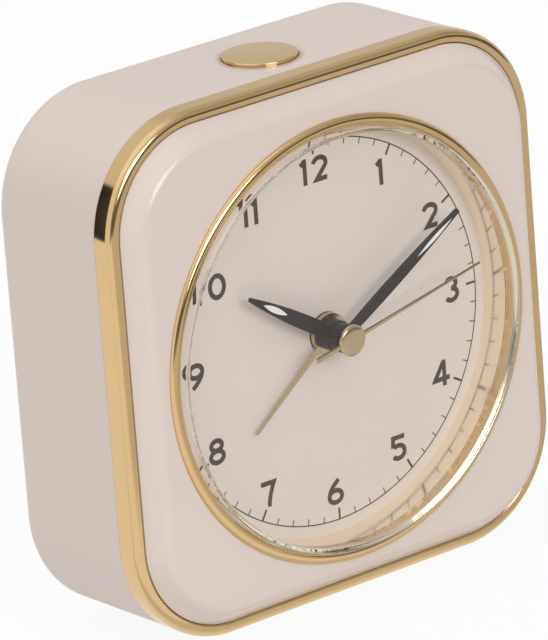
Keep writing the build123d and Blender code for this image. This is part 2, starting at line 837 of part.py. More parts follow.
def movement_housing():
    """Moulded cup that closes the movement and carries the rear bearings, pillars and stator posts."""
    body = plate(movement_outline(0), rear_wall_back, front_plate_back)
    body -= plate(movement_outline(housing_wall), rear_wall_front, front_plate_back + overrun)
    for place in pillar_places():
        body += at(place, disc(pillar_radius, rear_wall_front, middle_plate_back))
    for place in stator_posts():
        body += at(place, disc(core_width / 2, rear_wall_front, stator_back()))
    for axis in (time_axis, alarm_axis):
        body -= at(axis, disc(shaft_radius + run_gap, rear_wall_back - overrun, rear_wall_front + overrun))
    for axis in (dial_axis, step_axis, rotor_axis):
        pivot = arbor_radius if axis == dial_axis else pivot_radius
        hole = disc(pivot + run_gap, rear_wall_front - pivot_length - end_play, rear_wall_front + overrun)
        body -= at(axis, hole)
    return body


def movement_screws():
    """Screws through the movement's ears into the chassis plate."""
    head_back = front_plate_back - movement_screw_head
    return Compound(children=[
        screw(movement_screw_radius, dial_back_z - seat_gap, movement_screw_head_radius, front_plate_back,
              head_back, ear)
        for ear in ear_places()])


def alarm_wheel():
    """Alarm wheel with the outermost turning pipe."""
    back = alarm_wheel_front - wheel_thickness
    body = wheel(alarm_teeth, alarm_module, 0, back, alarm_wheel_front, alarm_bore)
    return body + disc(alarm_tube, alarm_wheel_front - run_gap, alarm_hand_front, alarm_bore)


def hour_wheel():
    """Hour wheel with its pipe inside the alarm pipe."""
    back = hour_wheel_front - wheel_thickness
    body = wheel(hour_teeth, hour_module, hour_phase, back, hour_wheel_front, hour_bore)
    return body + disc(hour_tube, hour_wheel_front - run_gap, hour_hand_front, hour_bore)


def cannon_pinion():
    """Cannon pinion: the minute hand's tube, slipping on the centre wheel's tube when the hands are set."""
    back = motion_wheel_front - wheel_thickness - pinion_overlap
    body = pinion(cannon_teeth, motion_module, 0, back, motion_wheel_front, cannon_bore)
    return body + disc(cannon_tube, motion_wheel_front - run_gap, minute_boss_front, cannon_bore)


def motion_wheel():
    """Motion wheel and pinion, running on the front plate's stud."""
    back = motion_wheel_front - wheel_thickness
    bore = wheel_arbor_radius + run_gap
    body = wheel(motion_teeth, motion_module, motion_phase, back, motion_wheel_front, bore)
    body += pinion(motion_pinion_teeth, hour_module, 0, motion_wheel_front - run_gap, hour_wheel_front, bore)
    return at(motion_axis, body)


def centre_wheel():
    """Centre wheel on a tube that drives the cannon pinion by friction."""
    back = centre_wheel_front - wheel_thickness
    body = wheel(centre_teeth, centre_module, centre_phase, back, centre_wheel_front, centre_bore)
    return body + disc(centre_tube, centre_wheel_front - run_gap, hour_wheel_front, centre_bore)


def third_wheel():
    """Third wheel and pinion on an arbor between the front and middle plates."""
    back = third_wheel_front - wheel_thickness
    body = wheel(third_teeth, third_module, third_phase, back, third_wheel_front, wheel_arbor_radius / 2)
    body += pinion(third_pinion_teeth, centre_module, 0, third_wheel_front - run_gap,
                   centre_wheel_front, 0)
    body += disc(wheel_arbor_radius, middle_plate_front + end_play, front_plate_back - end_play)
    body += disc(pivot_radius, middle_plate_back, front_plate_back + pivot_length)
    return at(third_axis, body)


def second_wheel():
    """Second wheel, its pinion and the long arbor that carries the second hand."""
    back = second_wheel_front - wheel_thickness
    pinion_front = third_wheel_front + pinion_overlap
    body = wheel(second_teeth, second_module, 0, back, second_wheel_front, arbor_radius / 2)
    body += pinion(second_pinion_teeth, third_module, 0, middle_plate_front + end_play, pinion_front, 0)
    return body + disc(arbor_radius, rear_wall_front - pivot_length, second_hand_back)


def step_wheel():
    """Reducing wheel between the rotor and the second wheel."""
    back = step_wheel_front - wheel_thickness
    body = wheel(step_teeth, step_module, 0, back, step_wheel_front, wheel_arbor_radius / 2)
    body += pinion(step_pinion_teeth, second_module, step_pinion_phase, step_wheel_front - run_gap,
                   second_wheel_front, 0)
    body += disc(wheel_arbor_radius, rear_wall_front + end_play, middle_plate_back - end_play)
    body += disc(pivot_radius, rear_wall_front - pivot_length, middle_plate_front)
    return at(step_axis, body)


def rotor():
    """Magnet rotor with its pinion and pivots."""
    back = magnet_front - rotor_height
    body = disc(magnet_radius, back, magnet_front)
    body += pinion(rotor_pinion_teeth, step_module, rotor_phase, magnet_front - run_gap,
                   step_wheel_front + pinion_overlap, 0)
    body += disc(wheel_arbor_radius, rear_wall_front + end_play, middle_plate_back - end_play)
    body += disc(pivot_radius, rear_wall_front - pivot_length, middle_plate_front)
    return at(rotor_axis, body)


def stator_back():
    """Level of the stator's back face, in the middle of the magnet's height."""
    return magnet_front - (rotor_height + stator_thickness) / 2


def stator_posts():
    """Places where the stator stands on the housing."""
    left = stator_right - stator_width + stator_leg / 2
    return [(left, core_height), (stator_right - stator_leg / 2, core_height)]


def stator():
    """Flat iron frame: a pole plate round the rotor, two legs and the coil's core."""
    centre_x = stator_right - stator_width / 2
    centre_y = stator_top - stator_height / 2
    window_height = stator_height - stator_pole - core_width
    sketch = at((centre_x, centre_y), Rectangle(stator_width, stator_height))
    window_y = stator_top - stator_pole - window_height / 2
    sketch -= at((centre_x, window_y), Rectangle(stator_width - 2 * stator_leg, window_height))
    sketch -= at(rotor_axis, Circle(magnet_radius + stator_gap))
    sketch -= at(step_axis, Circle(wheel_arbor_radius + stator_gap))
    return plate(sketch, stator_back(), stator_back() + stator_thickness)


def along_core(shape):
    """Shape built on the z axis, laid along the core from the coil's middle."""
    centre_x = stator_right - stator_width / 2
    return Pos(centre_x, core_height, stator_back() + stator_thickness / 2) * Rot(0, 90, 0) * shape


def coil_bobbin():
    """Bobbin with two cheeks that slides on the core."""
    opening = Rectangle(stator_thickness + 2 * run_gap, core_width + 2 * run_gap)
    barrel = Rectangle(stator_thickness + 2 * bobbin_wall, core_width + 2 * bobbin_wall) - opening
    half = coil_length / 2
    body = Pos(0, 0, -half) * extrude(barrel, coil_length)
    for start in (-half, half - bobbin_cheek):
        body += Pos(0, 0, start) * extrude(Circle(coil_radius) - opening, bobbin_cheek)
    return along_core(body)


def coil():
    """Copper winding between the bobbin's cheeks."""
    barrel = Rectangle(stator_thickness + 2 * bobbin_wall, core_width + 2 * bobbin_wall)
    length = coil_length - 2 * bobbin_cheek
    winding = extrude(Circle(coil_radius - run_gap) - barrel, length)
    return along_core(Pos(0, 0, -length / 2) * winding)


def circuit_front():
    """Level of the component side of the circuit board."""
    return rear_wall_front + board_thickness


def circuit_board():
    """Circuit board that lies on the housing's rear wall, notched round the pillars."""
    sketch = at((0, circuit_centre), Rectangle(circuit_width, circuit_height))
    for place in pillar_places():
        sketch -= at(place, Circle(pillar_radius + seat_gap))
    return plate(sketch, rear_wall_front, circuit_front())


def clock_chip():
    """Sealed chip under a low drop of resin."""
    drop = disc(chip_radius, circuit_front(), circuit_front() + chip_height)
    drop = chamfer(drop.edges().sort_by(Axis.Z)[-1], chip_height / 2)
    return at((chip_inset - circuit_width / 2, circuit_centre), drop)


def crystal():
    """Quartz crystal in its can, lying on the board."""
    can = Rot(0, 90, 0) * extrude(Circle(crystal_radius), crystal_length)
    start = circuit_width / 2 - crystal_inset
    return Pos(start, circuit_centre, circuit_front() + crystal_radius) * can


def setting_shaft(axis, teeth, module, phase, pinion_back, pinion_front):
    """Setting shaft from the front plate to its knob, with its pinion."""
    body = disc(shaft_radius, knob_back_z + knob_thickness / 2, front_plate_back - end_play)
    body += disc(shaft_radius / 2, front_plate_back - end_play - run_gap, front_plate_back + pivot_length)
    body += pinion(teeth, module, phase, pinion_back, pinion_front, 0)
    return at(axis, body)


def time_shaft():
    """Shaft that turns the motion wheel."""
    return setting_shaft(time_axis, time_pinion_teeth, motion_module, time_phase,
                         motion_wheel_front - wheel_thickness, motion_wheel_front + pinion_overlap)


def alarm_shaft():
    """Shaft that turns the alarm wheel."""
    return setting_shaft(alarm_axis, alarm_pinion_teeth, alarm_module, alarm_pinion_phase,
                         alarm_wheel_front - wheel_thickness, alarm_wheel_front + pinion_overlap)


def setting_knob(axis):
    """Fluted knob with a dished end, pressed on a setting shaft."""
    sketch = Circle(knob_radius)
    for flute in range(knob_flutes):
        sketch -= at(polar(knob_radius, 360 * flute / knob_flutes), Circle(knob_flute_radius))
    body = plate(sketch, knob_back_z, knob_front_z)
    body -= disc(knob_dish_radius, knob_back_z - overrun, knob_back_z + knob_dish_depth)
    body -= disc(shaft_radius, knob_back_z + knob_thickness / 2, knob_front_z + overrun)
    return at(axis, body)


def door_outline(gap):
    """Outline of the battery door or, with no gap, of the rebate that it fills."""
    width = bay_length + 2 * door_ledge - 2 * gap
    height = 2 * bay_half_height + 2 * door_ledge - 2 * gap
    return at((0, cell_centre), RectangleRounded(width, height, door_corner))


def back_cover():
    """Back cover with the control recess, sound slots, buzzer ring and battery bay."""
    body = plate(square(lip_half - seat_gap, lip_corner - seat_gap), back_z, cover_inner_z)
    tray = RectangleRounded(recess_width + 2 * tray_wall, recess_height + 2 * tray_wall,
                            recess_corner + tray_wall)
    body += at((0, recess_centre), plate(tray, cover_inner_z - run_gap, recess_inner_z))
    recess = RectangleRounded(recess_width, recess_height, recess_corner)
    body -= at((0, recess_centre), plate(recess, back_z - overrun, recess_floor_z))
    ring = disc(buzzer_bore + buzzer_ring_wall, cover_inner_z - run_gap, cover_inner_z + buzzer_thickness,
                buzzer_bore)
    body += at((0, buzzer_centre), ring)
    for slot in range(sound_slots):
        height = buzzer_centre + (slot - (sound_slots - 1) / 2) * sound_slot_pitch
        outline = SlotOverall(sound_slot_length, sound_slot_width)
        body -= at((0, height), plate(outline, back_z - overrun, cover_inner_z + run_gap))
    bay = Rectangle(bay_length + 2 * bay_wall, 2 * bay_half_height + 2 * bay_wall)
    body += at((0, cell_centre), plate(bay, cover_inner_z - run_gap, bay_front + bay_wall))
    bay_inside = Rectangle(bay_length, 2 * bay_half_height)
    body -= at((0, cell_centre), plate(bay_inside, back_z - overrun, bay_front))
    body -= plate(door_outline(0), back_z - overrun, back_z + door_thickness)
    for axis in (time_axis, alarm_axis):
        body -= at(axis, disc(shaft_radius + pass_gap, back_z - overrun, recess_inner_z + overrun))
    slot_width = switch_tab_width + switch_travel + 2 * switch_gap
    slot = Rectangle(slot_width, switch_tab_height + 2 * switch_gap)
    body -= at((0, switch_height), plate(slot, back_z, recess_inner_z + overrun))
    for corner in corners(post_offset):
        body -= at(corner, disc(cover_screw_radius + run_gap, back_z - overrun, cover_inner_z + overrun))
        body -= at(corner, disc(cover_screw_head_radius + seat_gap, back_z - overrun,
                                back_z + cover_screw_head))
    return body


def cover_screws():
    """Screws that hold the back cover to the case posts."""
    return Compound(children=[
        screw(cover_screw_radius, cover_inner_z + cover_screw_length - seat_gap, cover_screw_head_radius,
              back_z + cover_screw_head, back_z, corner)
        for corner in corners(post_offset)])


def battery_door():
    """Flush door over the battery bay, with grip ribs along its upper edge."""
    door = plate(door_outline(door_gap), back_z, back_z + door_thickness)
    for rib in range(door_ribs):
        height = cell_centre + bay_half_height - rib * door_rib_pitch - door_rib_pitch
        groove = Rectangle(door_rib_length, door_rib_width)
        door -= at((0, height), plate(groove, back_z - overrun, back_z + door_rib_depth))
    return door


def battery_cell():
    """Cylindrical cell with its positive nub to the right of the dial's reader."""
    can = extrude(Circle(cell_radius), cell_length)
    can = chamfer(can.edges().filter_by(GeomType.CIRCLE), cell_edge)
    can += extrude(Circle(cell_nub_radius), cell_length + cell_nub)
    return Pos(cell_start(), cell_centre, -cell_depth) * Rot(0, 90, 0) * can


def cell_start():
    """Sideways place of the cell's flat end."""
    return bay_length / 2 - contact_thickness - contact_bump - cell_length - cell_nub


def contact_plate(middle):
    """Sheet-metal plate at one end wall of the bay."""
    return Pos(middle, cell_centre, -cell_depth) * Box(contact_thickness, contact_width, contact_width)


def positive_contact():
    """Contact plate with a pressed bump for the cell's nub."""
    bump = Rot(0, 90, 0) * extrude(Circle(contact_bump_radius), contact_bump + contact_thickness / 2)
    place = bay_length / 2 - contact_thickness - contact_bump
    middle = bay_length / 2 - contact_thickness / 2
    return contact_plate(middle) + Pos(place, cell_centre, -cell_depth) * bump


def negative_contact():
    """Contact plate with a bowed leaf that presses on the cell's flat end."""
    root = -bay_length / 2 + contact_thickness / 2
    reach = cell_start() - contact_thickness
    quarter = contact_width / 4
    lower = Line((root, -2 * quarter), (reach, -quarter))
    crown = ThreePointArc((reach, -quarter), (reach + contact_thickness - run_gap, 0), (reach, quarter))
    upper = Line((reach, quarter), (root, 2 * quarter))
    inner = offset(make_face([lower, crown, upper, Line((root, 2 * quarter), (root, -2 * quarter))]),
                   -contact_thickness)
    leaf = make_face([lower, crown, upper, Line((root, 2 * quarter), (root, -2 * quarter))]) - inner
    strip = extrude(leaf, contact_width / 2)
    return contact_plate(root) + Pos(0, cell_centre, -cell_depth - contact_width / 4) * strip


def buzzer():
    """Sounder in the ring on the back cover."""
    body = disc(buzzer_radius, cover_inner_z, cover_inner_z + buzzer_thickness)
    body -= disc(buzzer_radius / 2, cover_inner_z - overrun, cover_inner_z + pass_gap)
    return at((0, buzzer_centre), body)


def switch_slider():
    """Slider of the alarm switch at its off end: a tab through the slot and a carriage inside."""
    tab_back = recess_floor_z - switch_tab_rise
    tab = plate(Rectangle(switch_tab_width, switch_tab_height), tab_back, switch_carriage_z + run_gap)
    for ridge in (-1, 0, 1):
        groove = Rectangle(switch_tab_width / 8, switch_tab_height + overrun)
        tab -= at((ridge * switch_tab_width / 4, 0), plate(groove, tab_back - overrun, tab_back + pass_gap))
    carriage = plate(Rectangle(switch_carriage_width, switch_carriage_height), switch_carriage_z,
                     switch_carriage_z + switch_carriage_thickness)
    return at((-switch_travel / 2, switch_height), tab + carriage)


def switch_base():
    """Fixed half of the alarm switch, standing on the recess floor by two legs."""
    inner_width = switch_carriage_width + switch_travel + 2 * switch_gap
    outer_width = inner_width + 2 * switch_leg
    front = switch_base_z + switch_base_thickness
    body = plate(Rectangle(outer_width, switch_carriage_height), recess_inner_z, front)
    channel = Rectangle(inner_width, switch_carriage_height + overrun)
    body -= plate(channel, recess_inner_z - overrun, switch_base_z)
    return at((0, switch_height), body)


def snooze_collar():
    """Gold-tone collar: a flange on the case top and a sleeve through the wall."""
    collar = rod(collar_sleeve_radius + collar_flange, case_top, case_top + collar_rise)
    collar += rod(collar_sleeve_radius, top_inner - collar_tail, case_top + collar_rise)
    return collar - rod(collar_bore, top_inner - overrun, case_top + overrun)


def snooze_button():
    """Gold-tone button with a soft edge, a retaining flange and a stem."""
    body = rod(snooze_radius, snooze_flange_top - run_gap, case_top + snooze_rise)
    body = fillet(body.edges().sort_by(Axis.Y)[-1], snooze_edge_radius)
    body += rod(snooze_flange_radius, snooze_flange_top - snooze_flange, snooze_flange_top)
    return body + rod(snooze_stem_radius, snooze_stem_bottom, snooze_flange_top - snooze_flange + run_gap)


def snooze_dome():
    """Rubber dome on the board that pushes the button back up."""
    base = snooze_board_top
    top = base + dome_height
    inside_top = top - dome_wall
    outline = make_face(Polyline((0, top), (dome_top_radius, top), (dome_radius, base),
                                 (dome_radius - dome_wall, base), (dome_top_radius - dome_wall, inside_top),
                                 (0, inside_top), close=True))
    return Pos(0, 0, -snooze_depth) * revolve(outline, Axis.Y)


def snooze_board():
    """Small board that hangs from the case top under the dome."""
    sketch = Rectangle(snooze_board_width, snooze_board_height)
    for side in (-1, 1):
        sketch -= at((side * snooze_post_spread, 0), Circle(board_screw_radius + run_gap))
    lying = Rot(-90, 0, 0) * extrude(sketch, board_thickness)
    return Pos(0, snooze_board_top - board_thickness, -snooze_depth) * lying


def board_screws():
    """Screws that hold the small board to its two posts."""
    under = snooze_board_top - board_thickness
    screws = []
    for side in (-1, 1):
        body = rod(board_screw_head_radius, under - board_screw_head, under)
        body += rod(board_screw_radius, under - run_gap, snooze_board_top + board_screw_length - seat_gap)
        screws.append(Pos(side * snooze_post_spread, 0, 0) * body)
    return Compound(children=screws)


pieces = {
    "case_body": case_body(),
    "front_trim": front_trim(),
    "front_panel": front_panel(),
    "dial_bezel": dial_bezel(),
    "lens": lens(),
    "dial": dial(),
    "chassis_plate": chassis_plate(),
    "chassis_screws": chassis_screws(),
    "alarm_hand": alarm_hand(),
    "hour_hand": hour_hand(),
    "hour_hand_lume": lume(hour_lume_start, hour_lume_end, hour_lume_width, hour_hand_back, hour_hand_front,
                           hour_hand_angle),
    "minute_hand": minute_hand(),
    "minute_hand_lume": lume(minute_lume_start, minute_lume_end, minute_lume_width, minute_hand_back,
                             minute_hand_front, minute_hand_angle),
    "second_hand": second_hand(),
    "movement_front_plate": movement_front_plate(),
    "movement_middle_plate": movement_middle_plate(),
    "movement_housing": movement_housing(),
    "movement_screws": movement_screws(),
    "alarm_wheel": alarm_wheel(),
    "hour_wheel": hour_wheel(),
    "cannon_pinion": cannon_pinion(),
    "motion_wheel": motion_wheel(),
    "centre_wheel": centre_wheel(),
    "third_wheel": third_wheel(),
    "second_wheel": second_wheel(),
    "step_wheel": step_wheel(),
    "rotor": rotor(),
    "stator": stator(),
    "coil_bobbin": coil_bobbin(),
    "coil": coil(),
    "circuit_board": circuit_board(),
    "clock_chip": clock_chip(),
    "crystal": crystal(),
    "time_shaft": time_shaft(),
    "alarm_shaft": alarm_shaft(),
    "time_knob": setting_knob(time_axis),
    "alarm_knob": setting_knob(alarm_axis),
    "back_cover": back_cover(),
    "cover_screws": cover_screws(),
    "battery_door": battery_door(),
    "battery_cell": battery_cell(),
    "positive_contact": positive_contact(),
    "negative_contact": negative_contact(),
    "buzzer": buzzer(),
    "switch_slider": switch_slider(),
    "switch_base": switch_base(),
    "snooze_collar": snooze_collar(),
    "snooze_button": snooze_button(),
    "snooze_dome": snooze_dome(),
    "snooze_board": snooze_board(),
    "board_screws": board_screws(),
    "feet": feet(),
}

# Upright frame: the depth is centred between the lens and the back, the feet stand on zero
panel_y = (lens_rise + back_z) / 2
dial_height = foot_rise - case_bottom
upright = Plane(origin=(0, panel_y, dial_height), x_dir=(1, 0, 0), z_dir=(0, -1, 0))

os.makedirs("parts", exist_ok=True)
for name, piece in pieces.items():
    export_step(upright.location * piece, f"parts/{name}.step")
print("dial axis height", dial_height, "panel plane", panel_y)
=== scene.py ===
import math
import bmesh
import bpy
import numpy as np
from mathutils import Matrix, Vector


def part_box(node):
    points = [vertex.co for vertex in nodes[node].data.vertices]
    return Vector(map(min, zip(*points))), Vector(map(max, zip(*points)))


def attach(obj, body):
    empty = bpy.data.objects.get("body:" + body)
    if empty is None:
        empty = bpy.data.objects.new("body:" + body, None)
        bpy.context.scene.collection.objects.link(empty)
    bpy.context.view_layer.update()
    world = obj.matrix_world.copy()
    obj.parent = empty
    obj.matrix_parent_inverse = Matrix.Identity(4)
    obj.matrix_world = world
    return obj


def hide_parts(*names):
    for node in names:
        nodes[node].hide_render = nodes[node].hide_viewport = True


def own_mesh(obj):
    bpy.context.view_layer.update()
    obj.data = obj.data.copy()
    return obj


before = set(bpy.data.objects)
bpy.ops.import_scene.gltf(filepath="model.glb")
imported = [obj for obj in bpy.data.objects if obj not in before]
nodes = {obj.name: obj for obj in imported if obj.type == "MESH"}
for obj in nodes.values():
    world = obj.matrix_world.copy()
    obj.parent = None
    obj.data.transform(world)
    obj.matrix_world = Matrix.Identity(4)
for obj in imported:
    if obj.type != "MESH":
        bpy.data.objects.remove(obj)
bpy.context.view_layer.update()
scene = bpy.context.scene
MM = 0.001
WELD = 1e-8          # metres: closer mesh points become one
SAME_POINT = 1e-6    # millimetres: closer profile points are one
SHARP_ANGLE = 32     # degrees: steeper folds stay sharp in the shading


def box_mm(node):
    """Lowest and highest corner of a CAD node in millimetres: its box in metres divided by the millimetre."""
    low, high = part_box(node)
    return np.array(low) / MM, np.array(high) / MM


# Places in millimetres, read from the CAD nodes.
case_low, case_high = box_mm("case_body")
trim_low, trim_high = box_mm("front_trim")
bezel_low, bezel_high = box_mm("dial_bezel")
lens_low, lens_high = box_mm("lens")
dial_low, dial_high = box_mm("dial")
button_low, button_high = box_mm("snooze_button")
dome_low, dome_high = box_mm("snooze_dome")
feet_low, feet_high = box_mm("feet")
panel_back = box_mm("front_panel")[1][1]
collar_base = box_mm("snooze_collar")[0][2]
second_hand_back = box_mm("second_hand")[1][1]

# Sizes in millimetres that several pieces share.
case_corner = 22.2
case_wall = 2.4
seat_gap = 0.1
dial_depth = 7.2
lens_wall = 0.9
bezel_wall = 1.5
bezel_seat = 1.3

half_side = case_high[0]
case_top = case_high[2]
case_centre = (case_low[2] + case_high[2]) / 2
dial_face = dial_low[1]
dial_axis = (dial_low[2] + dial_high[2]) / 2
panel_front = dial_face - dial_depth
button_y = (button_low[1] + button_high[1]) / 2


# Shapes: arrays in millimetres with X right, Y back and Z up, in the frame of the CAD model.

def curve(centre, rx, ry, start, end, steps=20):
    """Ellipse points: the centre plus rx times cosine and ry times sine of angles from start to end, in
    degrees."""
    angle = np.radians(np.linspace(start, end, steps + 1))
    return np.stack([centre[0] + rx * np.cos(angle), centre[1] + ry * np.sin(angle)], 1)


def arc(centre, radius, start, end, steps):
    """Circle points: an ellipse with the same radius both ways."""
    return curve(centre, radius, radius, start, end, steps)


def bend(start, leave, arrive, end, steps=12):
    """Cubic curve from start to end that leaves toward one point and arrives from another: the four points
    are weighted by the terms of (1 - t + t) cubed."""
    t = np.linspace(0, 1, steps + 1)[:, None]
    a, b, c, d = (np.array(p, float) for p in (start, leave, arrive, end))
    return a * (1 - t) ** 3 + 3 * b * t * (1 - t) ** 2 + 3 * c * t ** 2 * (1 - t) + d * t ** 3


def chain(*runs):
    """Joins points and arcs into one profile, leaving out each point that repeats the one before it."""
    points = np.concatenate([np.atleast_2d(np.array(run, float)) for run in runs])
    step = np.linalg.norm(np.diff(points, axis=0), axis=1)
    return points[np.concatenate([[True], step > SAME_POINT])]


def square_round(run_steps, turn_steps):
    """Closed round of the case's rounded square: foot points walk along the square of the corner centres, and
    the outward directions stay square to each side and turn a quarter circle at each corner."""
    reach = half_side - case_corner
    along = np.linspace(-reach, reach, run_steps + 1)
    turn = np.radians(np.linspace(0, 90, turn_steps + 1))[1:-1]
    foot = np.concatenate([np.stack([np.full_like(along, reach), along], 1), np.full((len(turn), 2), reach)])
    out = np.concatenate([np.tile([1.0, 0.0], (len(along), 1)), np.stack([np.cos(turn), np.sin(turn)], 1)])
    foot_points, outs = [], []
    for c, s in ((1, 0), (0, 1), (-1, 0), (0, -1)):
        spin = np.array([[c, s], [-s, c]])
        foot_points.append(foot @ spin)
        outs.append(out @ spin)
    return np.concatenate(foot_points), np.concatenate(outs)


def carried(profile, run_steps, turn_steps):
    """Profile rows of (inset, Y) carried round the rounded square: each point is the foot point plus the
    outward direction times the corner radius less the inset, at the row's Y."""
    foot, out = square_round(run_steps, turn_steps)
    flat = foot[None] + out[None] * (case_corner - profile[:, 0])[:, None, None]
    depth = np.broadcast_to(profile[:, 1][:, None], flat.shape[:2])
    return np.stack([flat[..., 0], depth, flat[..., 1] + case_centre], -1)


def turned(profile, steps):
    """Profile rows of (radius, Y) turned about the dial axis: X and Z are radius times sine and cosine."""
    angle = np.linspace(0, 2 * math.pi, steps, endpoint=False)
    r, y = profile[:, 0][:, None], profile[:, 1][:, None]
    return np.stack([r * np.sin(angle), y + 0 * angle, dial_axis + r * np.cos(angle)], -1)


def turned_upright(profile, steps, x, y):
    """Profile rows of (radius, Z) turned about the upright line through x and y: X and Y are that place plus
    radius times cosine and sine."""
    angle = np.linspace(0, 2 * math.pi, steps, endpoint=False)
    r, z = profile[:, 0][:, None], profile[:, 1][:, None]
    return np.stack([x + r * np.cos(angle), y + r * np.sin(angle), z + 0 * angle], -1)


def clock_way(degrees):
    """Direction on the dial at an angle clockwise from twelve: sine and cosine of the angle."""
    angle = math.radians(degrees)
    return np.array([math.sin(angle), math.cos(angle)])


def grid_faces(rows, columns, rows_closed):
    """Quads between neighbouring rows and columns of a grid of points. The last column joins the first, and
    so does the last row where rows_closed is true."""
    i = np.arange(rows if rows_closed else rows - 1)[:, None]
    j = np.arange(columns)[None]
    i2, j2 = (i + 1) % rows, (j + 1) % columns
    quads = np.stack([i * columns + j, i * columns + j2, i2 * columns + j2, i2 * columns + j], -1)
    return quads.reshape(-1, 4)


def open_grid(grid):
    """Points and quads of a grid whose columns close on themselves and whose rows don't."""
    return grid.reshape(-1, 3), grid_faces(*grid.shape[:2], rows_closed=False)


def join_parts(parts):
    """Stacks points and faces of several closed parts: each part's faces count on from the points before."""
    points, faces, count = [], [], 0
    for p, f in parts:
        points.append(p)
        faces.append(f + count)
        count += len(p)
    return np.concatenate(points), np.concatenate(faces)


def make_piece(name, points, faces, body, slot, material, stands_for=()):
    """Mesh object from points in millimetres and quads, welded, turned outward and shaded smooth."""
    mesh = bpy.data.meshes.new(name)
    mesh.from_pydata((np.asarray(points).reshape(-1, 3) * MM).tolist(), [], np.asarray(faces).tolist())
    work = bmesh.new()
    work.from_mesh(mesh)
    bmesh.ops.remove_doubles(work, verts=work.verts, dist=WELD)
    bmesh.ops.recalc_face_normals(work, faces=work.faces)
    work.to_mesh(mesh)
    work.free()
    mesh.shade_smooth()
    mesh.set_sharp_from_angle(angle=math.radians(SHARP_ANGLE))
    piece = bpy.data.objects.new(name, mesh)
    scene.collection.objects.link(piece)
    mesh.materials.append(material)
    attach(piece, body)
    if stands_for:
        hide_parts(*stands_for)
    return piece


def swept_piece(name, grid, body, slot, material, stands_for=(), rows_closed=True):
    """Piece from one grid of points whose columns close on themselves."""
    faces = grid_faces(*grid.shape[:2], rows_closed)
    return make_piece(name, grid, faces, body, slot, material, stands_for)


# Shader nodes. A value is a socket, or a fixed number where the text says so.

def new_material(name):
    """Empty material: its tree, its main shader and the place of each point in object coordinates."""
    material = bpy.data.materials.new(name)
    material.use_nodes = True
    tree = material.node_tree
    place = tree.nodes.new("ShaderNodeTexCoord")
    return material, tree, tree.nodes["Principled BSDF"], place.outputs["Object"]


def maths(tree, operation, *values):
    """Result of the named operation on its values, each a socket or a fixed number."""
    node = tree.nodes.new("ShaderNodeMath")
    node.operation = operation
    for socket, value in zip(node.inputs, values):
        if isinstance(value, float):
            socket.default_value = value
        else:
            tree.links.new(value, socket)
    return node.outputs["Value"]


def mapped(tree, value, source, target, kind="LINEAR"):
    """Number that goes from the first to the second target as the value goes from the first to the second
    source, and stays at the nearer target beyond them. SMOOTHSTEP eases both ends."""
    node = tree.nodes.new("ShaderNodeMapRange")
    node.interpolation_type = kind
    for end, number in zip(("From Min", "From Max", "To Min", "To Max"), (*source, *target)):
        node.inputs[end].default_value = number
    tree.links.new(value, node.inputs["Value"])
    return node.outputs["Result"]


def reach_along(tree, place, way):
    """How far a place reaches along a direction: their dot product."""
    node = tree.nodes.new("ShaderNodeVectorMath")
    node.operation = "DOT_PRODUCT"
    node.inputs[1].default_value = way
    tree.links.new(place, node.inputs[0])
    return node.outputs["Value"]


def mixed(tree, share, first, second, output):
    """Sends two shaders to the output: the first times one less the share, plus the second times it."""
    mix = tree.nodes.new("ShaderNodeMixShader")
    tree.links.new(share, mix.inputs["Fac"])
    tree.links.new(first, mix.inputs[1])
    tree.links.new(second, mix.inputs[2])
    tree.links.new(mix.outputs["Shader"], tree.nodes[output].inputs["Surface"])


def noise(tree, place, scale, detail=3.0, stretch=None):
    """Noise value at the place times the scale; with stretch the coordinates are scaled unevenly first."""
    if stretch:
        mapping = tree.nodes.new("ShaderNodeMapping")
        mapping.inputs["Scale"].default_value = stretch
        tree.links.new(place, mapping.inputs["Vector"])
        place = mapping.outputs["Vector"]
    texture = tree.nodes.new("ShaderNodeTexNoise")
    texture.inputs["Scale"].default_value = scale
    texture.inputs["Detail"].default_value = detail
    tree.links.new(place, texture.inputs["Vector"])
    return texture.outputs["Fac"]


def tones(tree, value, dark, light):
    """Colour between two tones: dark up to a noise value of 0.35, light from 0.65, in proportion between."""
    ramp = tree.nodes.new("ShaderNodeValToRGB")
    for element, position, colour in zip(ramp.color_ramp.elements, (0.35, 0.65), (dark, light)):
        element.position = position
        element.color = (*colour, 1)
    tree.links.new(value, ramp.inputs["Fac"])
    return ramp.outputs["Color"]


def spread(tree, value, target):
    """Number that goes from the first to the second target as a noise value goes from 0.3 to 0.7."""
    return mapped(tree, value, (0.3, 0.7), target)


def bump(tree, value, strength):
    """Normal tilted by the slope of a height of 0.2 mm times the value, in part by strength."""
    node = tree.nodes.new("ShaderNodeBump")
    node.inputs["Strength"].default_value = strength
    node.inputs["Distance"].default_value = 0.2 * MM
    tree.links.new(value, node.inputs["Height"])
    return node.outputs["Normal"]


